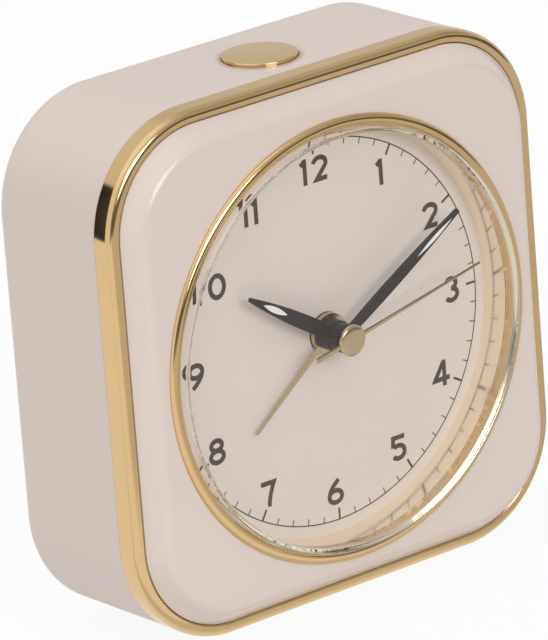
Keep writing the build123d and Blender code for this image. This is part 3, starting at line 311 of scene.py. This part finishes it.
def surface(name, dark, light, rough, metal=0.0, scale=60.0, grain=900.0, grain_strength=0.03, stretch=None,
            coat=0.0, coat_rough=0.05, specular=0.5, scatter=0.0):
    """Material with a soft drift of tone, gloss that varies 3.7 times as finely, and a fine surface grain."""
    material, tree, shader, place = new_material(name)
    drift = noise(tree, place, scale)
    tree.links.new(tones(tree, drift, dark, light), shader.inputs["Base Color"])
    haze = noise(tree, place, scale * 3.7, 2.0, stretch)
    tree.links.new(spread(tree, haze, rough), shader.inputs["Roughness"])
    fine = noise(tree, place, grain, 2.0, stretch)
    tree.links.new(bump(tree, fine, grain_strength), shader.inputs["Normal"])
    shader.inputs["Metallic"].default_value = metal
    shader.inputs["Specular IOR Level"].default_value = specular
    shader.inputs["Coat Weight"].default_value = coat
    shader.inputs["Coat Roughness"].default_value = coat_rough
    if scatter:
        shader.inputs["Subsurface Weight"].default_value = scatter
        shader.inputs["Subsurface Radius"].default_value = (1.0, 0.8, 0.6)
        shader.inputs["Subsurface Scale"].default_value = 1.5 * MM
    return material


def clear_plastic(name):
    """Clear moulding: transmission with a little uneven gloss. Light that falls through it, and light that
    has been turned more than twice, passes straight, so it casts no dark shadow and traps no light."""
    material, tree, shader, place = new_material(name)
    shader.inputs["Base Color"].default_value = (0.985, 0.985, 0.98, 1)
    shader.inputs["Transmission Weight"].default_value = 1.0
    shader.inputs["IOR"].default_value = 1.49
    shader.inputs["Specular Tint"].default_value = (0.7, 0.7, 0.7, 1)
    tree.links.new(spread(tree, noise(tree, place, 90.0), (0.004, 0.02)), shader.inputs["Roughness"])
    path = tree.nodes.new("ShaderNodeLightPath").outputs
    falling = maths(tree, "MAXIMUM", path["Is Shadow Ray"], path["Is Diffuse Ray"])
    deep = maths(tree, "GREATER_THAN", path["Ray Depth"], 2.5)
    clear = tree.nodes.new("ShaderNodeBsdfTransparent")
    mixed(tree, maths(tree, "MAXIMUM", falling, deep), shader.outputs["BSDF"], clear.outputs["BSDF"],
          "Material Output")
    return material


# Looks: two tones, the range of roughness, and what departs from a plain surface.
looks = {
    "cream_plastic": dict(dark=(0.72, 0.616, 0.553), light=(0.73, 0.626, 0.561), rough=(0.235, 0.255),
                          scale=25.0, grain=1800.0, grain_strength=0.006, coat=0.25, coat_rough=0.08),
    "satin_cream": dict(dark=(0.72, 0.616, 0.553), light=(0.73, 0.626, 0.561), rough=(0.38, 0.43),
                        scale=25.0, grain=1800.0, grain_strength=0.01, specular=0.4),
    "gold_plating": dict(dark=(0.71, 0.497, 0.24), light=(0.735, 0.522, 0.262), rough=(0.09, 0.13),
                         metal=1.0, scale=45.0, grain=1500.0, grain_strength=0.008),
    # Paler copy of the gold plating for the dial wall: a painted reflection of the cream dial.
    "gold_painted_reflection": dict(dark=(0.97, 0.87, 0.69), light=(0.99, 0.90, 0.73), rough=(0.12, 0.2),
                      metal=1.0, scale=45.0, grain=700.0, grain_strength=0.02),
    "gold_hand": dict(dark=(0.575, 0.435, 0.25), light=(0.635, 0.485, 0.29), rough=(0.16, 0.24),
                      metal=1.0, scale=80.0, grain=2600.0, grain_strength=0.015),
    "dial_print": dict(dark=(0.733, 0.635, 0.571), light=(0.748, 0.65, 0.585), rough=(0.5, 0.58),
                       grain=2600.0, grain_strength=0.012),
    "dial_ink": dict(dark=(0.042, 0.018, 0.006), light=(0.060, 0.027, 0.010), rough=(0.5, 0.62),
                     scale=500.0, grain=3000.0, grain_strength=0.05),
    "black_enamel": dict(dark=(0.014, 0.008, 0.005), light=(0.021, 0.013, 0.009), rough=(0.36, 0.46),
                         scale=120.0, grain=2200.0, grain_strength=0.04, specular=0.18),
    "white_lume": dict(dark=(0.80, 0.775, 0.75), light=(0.86, 0.84, 0.82), rough=(0.7, 0.85),
                       scale=400.0, grain=3500.0, grain_strength=0.12),
    "cover_plastic": dict(dark=(0.70, 0.615, 0.565), light=(0.73, 0.64, 0.588), rough=(0.45, 0.58),
                          grain=1300.0, grain_strength=0.16),
    "rubber": dict(dark=(0.60, 0.545, 0.49), light=(0.66, 0.60, 0.545), rough=(0.5, 0.65),
                   grain=1100.0, grain_strength=0.08, scatter=0.2),
    "movement_plastic": dict(dark=(0.020, 0.020, 0.021), light=(0.034, 0.034, 0.035), rough=(0.38, 0.5)),
    "black_plastic": dict(dark=(0.018, 0.018, 0.019), light=(0.032, 0.032, 0.033), rough=(0.4, 0.55)),
    "gear_plastic": dict(dark=(0.78, 0.76, 0.70), light=(0.86, 0.84, 0.78), rough=(0.34, 0.46), scatter=0.1),
    "steel": dict(dark=(0.52, 0.52, 0.53), light=(0.62, 0.62, 0.63), rough=(0.22, 0.34),
                  metal=1.0, scale=120.0),
    "crystal_can": dict(dark=(0.66, 0.66, 0.67), light=(0.75, 0.75, 0.76), rough=(0.2, 0.3),
                        metal=1.0, scale=200.0),
    "magnet": dict(dark=(0.07, 0.07, 0.075), light=(0.12, 0.12, 0.125), rough=(0.45, 0.6), scale=300.0),
    "copper": dict(dark=(0.55, 0.24, 0.10), light=(0.66, 0.30, 0.14), rough=(0.25, 0.4),
                   metal=1.0, scale=200.0, stretch=(1.0, 18.0, 1.0)),
    "circuit": dict(dark=(0.03, 0.13, 0.06), light=(0.05, 0.19, 0.09), rough=(0.35, 0.5), scale=150.0),
    "cell_case": dict(dark=(0.10, 0.13, 0.17), light=(0.14, 0.17, 0.22), rough=(0.25, 0.38),
                      metal=0.4, scale=90.0),
}
finishes = {name: surface(name, **look) for name, look in looks.items()}
finishes["clear_lens"] = clear_plastic("clear_lens")

# Every CAD node takes the finish of its slot.
for node in nodes.values():
    finish = next((m.name.split(".")[0] for m in node.data.materials if m), "")
    for holder in node.material_slots:
        holder.link = "OBJECT"
        holder.material = finishes.get(finish, finishes["movement_plastic"])


# Case: moulded shell with a soft back edge and a round hole for the button. Its rows and columns make a net
# of squares round the button, and those nearest to it are drawn out to a circle.
rim_chamfer, back_round, back_lap = 0.3, 3.2, 3.5
side_steps, rows_before, rows_behind = 46, 8, 12
hole_radius, hole_squares, hole_slack, top_slack = 7.68, 5, 0.01, 0.001
pitch = 2 * (half_side - case_corner) / side_steps
wall_y = button_y + pitch * np.arange(-rows_before, rows_behind)
case_rows = chain((rim_chamfer, case_low[1]), (0.0, case_low[1] + rim_chamfer),
                  np.stack([0 * wall_y, wall_y], 1),
                  arc((back_round, case_high[1] - back_round), back_round, 180, 90, steps=8),
                  (back_lap, case_high[1]))
shell = carried(case_rows, side_steps, turn_steps=40)
across, deep = shell[..., 0], shell[..., 1] - button_y
net_reach = np.maximum(abs(across), abs(deep))
hole_reach = hole_squares * pitch
near_hole = (shell[..., 2] > case_top - top_slack) & (net_reach < 2 * hole_reach)
blend = np.clip(2 - net_reach / hole_reach, 0, 1)
blend = blend * blend * (3 - 2 * blend) * near_hole
from_axis = np.maximum(np.hypot(across, deep), SAME_POINT)
pull = 1 + blend * (hole_radius / hole_reach * net_reach / from_axis - 1)
shell[..., 0] = across * pull
shell[..., 1] = deep * pull + button_y
faces = grid_faces(*shell.shape[:2], rows_closed=False)
within_reach = net_reach.reshape(-1)[faces].max(1) < hole_reach + hole_slack
in_hole = near_hole.reshape(-1)[faces].all(1) & within_reach
case = make_piece("case_shell", shell, faces[~in_hole], "clock_case", "cream_plastic",
                  finishes["satin_cream"], ("case_body",))
thickness = case.modifiers.new("wall", "SOLIDIFY")
thickness.thickness = case_wall * MM
thickness.offset = -1.0
thickness.use_even_offset = True

# Trim: bead with a wide outer wall, a round front edge and a small inner one.
trim_proud, trim_round, trim_inner_round = 0.15, 1.5, 0.5
trim_front, trim_back = trim_low[1], trim_high[1]
trim_rows = chain((-trim_proud, trim_back),
                  arc((trim_round - trim_proud, trim_front + trim_round), trim_round, 180, 270, steps=12),
                  arc((case_wall - trim_inner_round, trim_front + trim_inner_round), trim_inner_round,
                      270, 360, steps=6),
                  (case_wall, trim_back))
swept_piece("gold_trim", carried(trim_rows, run_steps=10, turn_steps=48), "clock_case", "gold_plating",
            finishes["gold_plating"], ("front_trim",))

# Dial opening radii: the lens stands in the bezel's bore, and the bezel's wall goes down inside the panel's
# opening.
lens_radius, bezel_radius = lens_high[0], bezel_high[0]
bezel_bore, wall_radius = lens_radius + seat_gap, lens_radius - lens_wall
cup_radius = wall_radius + bezel_wall
opening = cup_radius + seat_gap

# Front panel: skirt, sloped shoulder with a soft edge, a flat that blends from the square to the opening.
panel_thickness, slope_height, slope_angle = 2.6, 3.9, 38
shoulder_round, shoulder_inset = 2.6, 6.815
hollow_inset, hollow_slope_inset, hollow_slope_depth = 5.1, 9.4, 5.6
panel_steps = dict(run_steps=24, turn_steps=32)
flat_rings = 8
skirt_inset = case_wall + seat_gap
skirt = chain((skirt_inset, panel_back), (skirt_inset, panel_front + slope_height),
              arc((shoulder_inset, panel_front + shoulder_round), shoulder_round, 180 + slope_angle, 270,
                  steps=10))
outer = carried(skirt, **panel_steps)
rim = outer[-1]
toward = rim - np.array([0, 0, dial_axis])
toward[:, 1] = 0
ring = toward / np.linalg.norm(toward, axis=1)[:, None] * opening + np.array([0, 0, dial_axis])
ring[:, 1] = panel_front
share = np.linspace(0, 1, flat_rings + 1)[1:, None, None]
flat = rim[None] * (1 - share) + ring[None] * share
deep_ring = ring + np.array([0, panel_thickness, 0])
hollow = chain((hollow_slope_inset, panel_front + panel_thickness),
               (hollow_inset, panel_front + hollow_slope_depth), (hollow_inset, panel_back))
panel = np.concatenate([outer, flat, deep_ring[None], carried(hollow, **panel_steps)])
swept_piece("gloss_front", panel, "clock_case", "cream_plastic", finishes["cream_plastic"], ("front_panel",))

# Bezel: rolled ring whose inner wall runs down to the dial. Each half of the roll is a quarter of an ellipse.
bezel_lip = 0.25
bezel_steps = 240
bezel_rise = panel_front - bezel_low[1]
seat_y = panel_front + bezel_seat
crown = (bezel_radius + bezel_bore) / 2
outer_half = curve((crown, panel_front), bezel_radius - crown, -bezel_rise, 0, 90, steps=12)
inner_half = curve((crown, panel_front - bezel_lip), crown - bezel_bore, bezel_lip - bezel_rise, 90, 180,
                   steps=12)
bezel_rows = chain(outer_half, inner_half, (bezel_bore, seat_y), (cup_radius, seat_y),
                   (cup_radius, panel_front))
swept_piece("rolled_bezel", turned(bezel_rows, bezel_steps), "clock_case", "gold_plating",
            finishes["gold_plating"], ("dial_bezel",))
# The inner wall takes the paler copy of the gold plating, a painted reflection of the cream dial in it.
bezel_back = bezel_high[1]
wall_rows = chain((wall_radius, seat_y), (wall_radius, bezel_back), (cup_radius, bezel_back),
                  (cup_radius, seat_y))
swept_piece("dial_wall", turned(wall_rows, bezel_steps), "clock_case", "gold_plating", finishes["gold_painted_reflection"],
            ("dial_bezel",))

# Lens: clear cup with a tight shoulder.
lens_round, lens_hollow_round, lens_middle = 0.35, 0.2, 20
lens_front, lens_back = lens_low[1], lens_high[1]
hollow_radius, hollow_front = lens_radius - lens_wall, lens_front + lens_wall
lens_rows = chain((0, lens_front), (lens_middle, lens_front),
                  arc((lens_radius - lens_round, lens_front + lens_round), lens_round, 270, 360, steps=8),
                  (lens_radius, lens_back), (hollow_radius, lens_back),
                  arc((hollow_radius - lens_hollow_round, hollow_front + lens_hollow_round),
                      lens_hollow_round, 360, 270, steps=5),
                  (lens_middle, hollow_front), (0, hollow_front))
swept_piece("clear_window", turned(lens_rows, 192), "clock_case", "clear_lens", finishes["clear_lens"],
            ("lens",), rows_closed=False)

# Dial print: numbers, minute track and ticks as thin closed ribbons on the dial's face.
ink_height, ink_step = 0.03, 0.004


def ribbon(path, half_width, height, closed=False):
    """Flat band along a path on the dial: the edges are the path plus and less the sum of the two
    neighbouring normals, scaled so that each edge keeps the half width from its run and meets the next run in
    a sharp corner. Returns points with a front and a back layer, and faces."""
    path = np.asarray(path, float)
    run = np.roll(path, -1, 0) - path if closed else np.diff(path, axis=0)
    run = run / np.linalg.norm(run, axis=1)[:, None]
    normal = np.stack([-run[:, 1], run[:, 0]], 1)
    before = np.roll(normal, 1, 0) if closed else np.concatenate([normal[:1], normal])
    after = normal if closed else np.concatenate([normal, normal[-1:]])
    both = before + after
    side = both * (2 * half_width / np.maximum((both ** 2).sum(1), 0.2))[:, None]
    layers = [(path + side, height), (path - side, height), (path - side, 0.0), (path + side, 0.0)]
    grid = np.stack([np.stack([p[:, 0], dial_face - h + 0 * p[:, 0], dial_axis + p[:, 1]], 1)
                     for p, h in layers], 1)
    quads = grid_faces(len(path), len(layers), closed)
    if not closed:
        ends = np.array([[0], [len(path) - 1]]) * len(layers) + np.arange(len(layers))
        quads = np.concatenate([quads, ends])
    return grid.reshape(-1, 3), quads


def loop(centre, rx, ry):
    """Closed ellipse: the points of a full turn without the last, which repeats the first."""
    return curve(centre, rx, ry, 0, 360, steps=40)[:-1]


# Strokes of each digit as shares of its height, each with whether it closes on itself.
pen_share = 0.093
top = 1 - pen_share
digit_shares = {
    "0": [(loop((0, 0.5), 0.325, 0.5 - pen_share), True)],
    "1": [([(0.06, 0), (0.06, 1)], False), ([(0.06, 0.93), (-0.135, 0.775)], False)],
    "2": [(chain(curve((0.01, 0.68), 0.295, 0.227, 172, -40), (-0.165, pen_share), (0.335, pen_share)),
           False)],
    "3": [(curve((-0.02, 0.725), 0.24, 0.191, 155, -90), False),
          (curve((-0.02, 0.31), 0.285, 0.226, 90, -150), False)],
    "4": [([(0.115, 0.955), (-0.345, 0.28), (0.385, 0.28)], False), ([(0.13, 0), (0.13, 1)], False)],
    "5": [([(0.275, top), (-0.27, top), (-0.29, 0.53)], False),
          (curve((-0.04, 0.335), 0.30, 0.251, 132, -145), False)],
    "6": [(loop((0, 0.315), 0.30, 0.231), True),
          (bend((-0.30, 0.315), (-0.30, 0.56), (-0.06, 0.78), (0.19, 0.94)), False)],
    "7": [(chain((-0.35, top), bend((0.27, top), (0.12, 0.62), (0.0, 0.33), (-0.02, 0), steps=6)), False)],
    "8": [(loop((0, 0.727), 0.25, 0.189), True), (loop((0, 0.305), 0.30, 0.221), True)],
}
digit_shares["9"] = [(np.array([0.0, 1.0]) - path, closed) for path, closed in digit_shares["6"]]

# Numbers stand upright on a circle; the printing sits a little off its hour lines.
number_radius, digit_height = 32.65, 5.3
printed_off = {1: (-0.1, 0.0), 2: (-0.15, 0.0), 3: (-0.35, 0.0), 5: (-0.15, 0.0), 6: (-0.6, 0.0),
               7: (-0.75, 0.0), 8: (-0.75, 0.1), 11: (0.0, 0.36), 12: (0.0, 0.36)}
pair_spread = {"10": (-2.4, 2.4), "11": (-1.55, 0.95), "12": (-2.65, 1.38)}
strokes = []
for hour in range(1, 13):
    label = str(hour)
    middle = clock_way(30 * hour) * number_radius + np.array(printed_off.get(hour, (0, 0)))
    for figure, shift in zip(label, pair_spread.get(label, (0.0,))):
        for layer, (path, closed) in enumerate(digit_shares[figure]):
            spot = (np.array(path) - np.array([0, 0.5])) * digit_height + middle + np.array([shift, 0])
            strokes.append(ribbon(spot, pen_share * digit_height, ink_height + ink_step * layer, closed))
make_piece("dial_numbers", *join_parts(strokes), "clock_case", "dial_print", finishes["dial_ink"])

# Minute track; a tick is a length and a half width.
track_radius, track_half_width = 38.5, 0.12
hour_tick, minute_tick = (2.35, 0.235), (1.35, 0.11)
track = curve((0, 0), track_radius, track_radius, 0, 360, steps=240)[:-1]
strokes = [ribbon(track, track_half_width, ink_height, True)]
for minute in range(60):
    way = clock_way(6 * minute)
    tick_length, tick_half_width = minute_tick if minute % 5 else hour_tick
    strokes.append(ribbon([way * track_radius, way * (track_radius - tick_length)], tick_half_width,
                          ink_height + ink_step))
make_piece("minute_track", *join_parts(strokes), "clock_case", "dial_print", finishes["dial_ink"])

# Second hand: a needle with a ridge, a counterweight tail, a collet, and a domed cap with a thin rim.
second_angle, needle_thickness = 78.4, 0.3
tail_length, needle_length = 9.1, 34.0
tail_half_width, axis_half_width, tip_half_width = 0.55, 0.45, 0.25
collet_radius, collet_length = 1.0, 0.6
cap_radius, cap_chamfer, cap_rim_height, cap_rim_edge = 3.15, 0.1, 0.36, 0.06
cap_dome_radius, cap_dome_rise = 2.81, 0.39
along, beside = clock_way(second_angle), clock_way(second_angle + 90)
needle_back = second_hand_back - collet_length
section_shares = np.array([[-1, 0], [1, 0], [1, 0.65], [0, 1], [-1, 0.65]])
stations = np.array([[-tail_length, 0], [-tail_length, tail_half_width], [0, axis_half_width],
                     [needle_length, tip_half_width], [needle_length, 0]])
needle = np.zeros((len(stations), len(section_shares), 3))
spots = (stations[:, 0][:, None, None] * along
         + (stations[:, 1][:, None] * section_shares[:, 0])[..., None] * beside)
needle[..., 0], needle[..., 2] = spots[..., 0], dial_axis + spots[..., 1]
needle[..., 1] = needle_back - needle_thickness * section_shares[:, 1]
rim_y = needle_back - cap_rim_height
cap_rows = chain((0, second_hand_back), (collet_radius, second_hand_back), (collet_radius, needle_back),
                 (cap_radius - cap_chamfer, needle_back), (cap_radius, needle_back - cap_chamfer),
                 (cap_radius, rim_y), (cap_radius - cap_rim_edge, rim_y - cap_rim_edge),
                 (cap_dome_radius + cap_rim_edge, rim_y - cap_rim_edge), (cap_dome_radius, rim_y),
                 curve((0, rim_y), cap_dome_radius, -cap_dome_rise, 0, 90, steps=12))
points, faces = join_parts([open_grid(needle), open_grid(turned(cap_rows, 72))])
make_piece("second_needle", points, faces, "second_hand_body", "gold_hand", finishes["gold_hand"],
           ("second_hand",))

# Snooze button: flat top with a crisp edge, a retaining flange and a stem, in a thin collar round its hole.
button_radius, button_round, button_drop, stem_radius = 7.42, 0.2, 0.4, 2.0
flange_radius, flange_thickness, flange_gap = 8.2, 1.0, 0.15
collar_bore, collar_sleeve, collar_rim, collar_rise, collar_edge = 7.56, 7.66, 7.76, 0.08, 0.04
button_steps = 120
stem_base, button_top = button_low[2], button_high[2] - button_drop
flange_top = collar_base - flange_gap
flange_base = flange_top - flange_thickness
button_rows = chain((0, stem_base), (stem_radius, stem_base), (stem_radius, flange_base),
                    (flange_radius, flange_base), (flange_radius, flange_top), (button_radius, flange_top),
                    arc((button_radius - button_round, button_top - button_round), button_round, 0, 90,
                        steps=6),
                    (0, button_top))
swept_piece("gold_button", turned_upright(button_rows, button_steps, 0, button_y), "snooze_button_body",
            "gold_plating", finishes["gold_plating"], ("snooze_button",), rows_closed=False)
collar_top = case_top + collar_rise
collar_rows = chain((collar_bore, collar_base), (collar_bore, collar_top),
                    (collar_rim - collar_edge, collar_top), (collar_rim, collar_top - collar_edge),
                    (collar_rim, case_top), (collar_sleeve, case_top), (collar_sleeve, collar_base))
swept_piece("button_collar", turned_upright(collar_rows, button_steps, 0, button_y), "clock_case",
            "gold_plating", finishes["gold_plating"], ("snooze_collar",))

# Rubber dome under the button: a bell with a thin wall, built at rest and given a mesh of its own. The crown
# and the hollow are measured from the dome's top, and the foot from its base.
dome_base, dome_top = dome_low[2], dome_high[2]
bell_crown = np.array([(0, 0), (1.9, 0), (2.25, -0.1), (2.42, -0.35), (2.75, -1.5)])
bell_foot = np.array([(3.3, 1.4), (3.75, 0.7), (4.2, 0.45), (4.2, 0), (3.5, 0), (3.0, 0.6), (2.5, 1.4)])
bell_hollow = np.array([(1.95, -1.4), (1.7, -0.7), (0, -0.7)])
bell_rows = chain(bell_crown + [0, dome_top], bell_foot + [0, dome_base], bell_hollow + [0, dome_top])
bell = swept_piece("press_dome", turned_upright(bell_rows, 64, 0, button_y), "clock_case", "rubber",
                   finishes["rubber"], ("snooze_dome",), rows_closed=False)
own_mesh(bell)

# Feet: soft pads with a round lower edge.
foot_radius, foot_round = 4.0, 1.1
foot_base, foot_top = feet_low[2], feet_high[2]
foot_flat = foot_radius - foot_round
foot_rows = chain((0, foot_base), (foot_flat, foot_base),
                  arc((foot_flat, foot_base + foot_round), foot_round, 270, 360, steps=6),
                  (foot_radius, foot_top), (0, foot_top))
pads = [open_grid(turned_upright(foot_rows, 48, x, y))
        for x in (feet_low[0] + foot_radius, feet_high[0] - foot_radius)
        for y in (feet_low[1] + foot_radius, feet_high[1] - foot_radius)]
make_piece("foot_pads", *join_parts(pads), "clock_case", "rubber", finishes["rubber"], ("feet",))


# Hands, back and controls: copies of the CAD nodes with small round edges.

def softened(node, body, slot, width):
    """Copy of a CAD node whose triangles are merged where they turn by less than 0.4 degrees, and whose edges
    of more than 40 degrees are rounded by width, in millimetres."""
    mesh = nodes[node].data
    places, corners = np.empty(len(mesh.vertices) * 3), np.empty(len(mesh.loops), int)
    mesh.vertices.foreach_get("co", places)
    mesh.loops.foreach_get("vertex_index", corners)
    piece = make_piece("soft_" + node, places / MM, corners.reshape(-1, 3), body, slot, finishes[slot],
                       (node,))
    whole = piece.modifiers.new("flat_faces", "DECIMATE")
    whole.decimate_type = "DISSOLVE"
    whole.angle_limit = math.radians(0.4)
    edge = piece.modifiers.new("edge", "BEVEL")
    edge.width = width * MM
    edge.segments = 2
    edge.limit_method = "ANGLE"
    edge.angle_limit = math.radians(40)
    edge.harden_normals = True


softened("back_cover", "clock_case", "cover_plastic", width=0.3)
softened("cover_screws", "clock_case", "steel", width=0.15)
softened("battery_door", "battery_door_body", "cover_plastic", width=0.25)
softened("time_knob", "time_knob_body", "cover_plastic", width=0.15)
softened("alarm_knob", "alarm_knob_body", "cover_plastic", width=0.15)
softened("switch_slider", "alarm_switch_body", "cover_plastic", width=0.12)
softened("hour_hand", "hour_hand_body", "black_enamel", width=0.08)
softened("minute_hand", "minute_hand_body", "black_enamel", width=0.08)


# Stage, in metres: pale floor, a bright studio with a few dark places that polished metal shows, and one
# large soft lamp. The camera, mirrors and the lens see the floor glow. Mirrors and the lens see it dimmer
# toward the front right, and darker in a narrow band before the clock's foot: a painted shadow of the clock.
floor_left, floor_front, floor_far = -0.32, -0.45, 4.0
dim_way, dim_reach, dim_tones = (0.75, -0.66, 0), (0.02, 0.09), (1.0, 0.66)
shadow_band_y, shadow_band_reach, painted_shadow_tones = -0.024, (0.004, 0.010), (0.72, 1.0)
glow_share = 0.92
floor_mesh = bpy.data.meshes.new("floor")
floor_mesh.from_pydata([(floor_left, floor_front, 0), (floor_far, floor_front, 0), (floor_far, floor_far, 0),
                        (floor_left, floor_far, 0)], [], [(0, 1, 2, 3)])
floor = bpy.data.objects.new("floor", floor_mesh)
scene.collection.objects.link(floor)
pale, tree, shader, place = new_material("pale_floor")
shader.inputs["Base Color"].default_value = (0.82, 0.82, 0.82, 1)
shader.inputs["Roughness"].default_value = 0.9
shader.inputs["Specular IOR Level"].default_value = 0.0
path = tree.nodes.new("ShaderNodeLightPath").outputs
side_tone = mapped(tree, reach_along(tree, place, dim_way), dim_reach, dim_tones, "SMOOTHSTEP")
# Painted shadow: the glow that mirrors and the lens see is darker in a narrow band before the clock's foot.
from_shadow_band = maths(tree, "ABSOLUTE", maths(tree, "SUBTRACT", reach_along(tree, place, (0, 1, 0)), shadow_band_y))
painted_shadow = mapped(tree, from_shadow_band, shadow_band_reach, painted_shadow_tones, "SMOOTHSTEP")
glow = tree.nodes.new("ShaderNodeEmission")
glow_strength = maths(tree, "MAXIMUM", path["Is Camera Ray"], maths(tree, "MULTIPLY", side_tone, painted_shadow))
tree.links.new(glow_strength, glow.inputs["Strength"])
mirrored = maths(tree, "MAXIMUM", path["Is Glossy Ray"], path["Is Transmission Ray"])
seen = maths(tree, "MAXIMUM", path["Is Camera Ray"], mirrored)
mixed(tree, maths(tree, "MULTIPLY", seen, glow_share), shader.outputs["BSDF"], glow.outputs["Emission"],
      "Material Output")
floor_mesh.materials.append(pale)

world = bpy.data.worlds.new("studio")
scene.world = world
world.use_nodes = True
tree = world.node_tree
direction = tree.nodes.new("ShaderNodeTexCoord").outputs["Generated"]


def toward_patch(way, inner, outer):
    """One inside the inner angle (degrees) round a direction, nothing outside the outer one, smooth between:
    the dot product with the direction is set between the cosines of the two angles."""
    cosines = math.cos(math.radians(outer)), math.cos(math.radians(inner))
    reach = reach_along(tree, direction, np.array(way) / np.linalg.norm(way))
    return mapped(tree, reach, cosines, (0.0, 1.0), "SMOOTHSTEP")


def below(inner, outer):
    """One below the outer angle (degrees) from straight up, nothing above the inner one: one less the patch
    round straight up."""
    return maths(tree, "MULTIPLY_ADD", toward_patch((0, 0, 1), inner, outer), -1.0, 1.0)


# Dim front wall with a dark foot, and round places that are darker or brighter than the studio: each has a
# direction, two angles and a change of brightness.
studio_level, wall_change, foot_change = 0.82, -0.31, -0.36
front_side = toward_patch((0.3, -0.95, 0.0), 55, 75)
front_wall = maths(tree, "MULTIPLY", front_side, below(38, 52))
front_foot = maths(tree, "MULTIPLY", front_side, below(77, 82))
level = maths(tree, "MULTIPLY_ADD", front_wall, wall_change, studio_level)
level = maths(tree, "MULTIPLY_ADD", front_foot, foot_change, level)
studio_patches = (
    ((-0.66, 0.74, 0.1), 17, 20, -0.82),   # dark gap at the back left
    ((0.59, 0.74, 0.32), 14, 30, -0.14),   # dim place at the back right
    ((0.59, 0.0, 0.8), 20, 38, -0.22),     # dim place above the right side
    ((-0.3, 0, 0.95), 15, 50, 0.35),       # bright ceiling
    ((-1, 0, 0.1), 30, 60, 0.12),          # bright left side
)
for way, inner, outer, change in studio_patches:
    level = maths(tree, "MULTIPLY_ADD", toward_patch(way, inner, outer), change, level)
background = tree.nodes["Background"]
background.inputs["Color"].default_value = (1, 1, 1, 1)
tree.links.new(level, background.inputs["Strength"])
white = tree.nodes.new("ShaderNodeBackground")
white.inputs["Color"].default_value = (1, 1, 1, 1)
white.inputs["Strength"].default_value = 1.0
path = tree.nodes.new("ShaderNodeLightPath").outputs
mixed(tree, path["Is Camera Ray"], background.outputs["Background"], white.outputs["Background"],
      "World Output")

lamp_way, lamp_distance, lamp_aim = np.array([-0.09, -0.93, 0.36]), 1.35, np.array([0, 0, 0.05])
lamp = bpy.data.lights.new("soft_lamp", "AREA")
lamp.shape = "RECTANGLE"
lamp.size = 0.75
lamp.size_y = 0.54
lamp.energy = 6.45
soft_lamp = bpy.data.objects.new("soft_lamp", lamp)
soft_lamp.location = lamp_way * lamp_distance + lamp_aim
soft_lamp.rotation_euler = (math.radians(69), 0, math.radians(-5.5))
scene.collection.objects.link(soft_lamp)

# Camera at the photograph's place.
camera_data = bpy.data.cameras.new("camera")
camera_data.sensor_fit = "VERTICAL"
camera_data.sensor_height = 36.0
camera_data.lens = 425.05
camera_data.clip_end = 50.0
camera = bpy.data.objects.new("camera", camera_data)
camera.location = (-0.86483169, panel_front * MM - 1.06328105, 0.52038592)
camera.rotation_euler = [math.radians(a) for a in (71.30695, 4.22366, -39.96626)]
scene.collection.objects.link(camera)
scene.camera = camera
scene.view_settings.view_transform = "Standard"
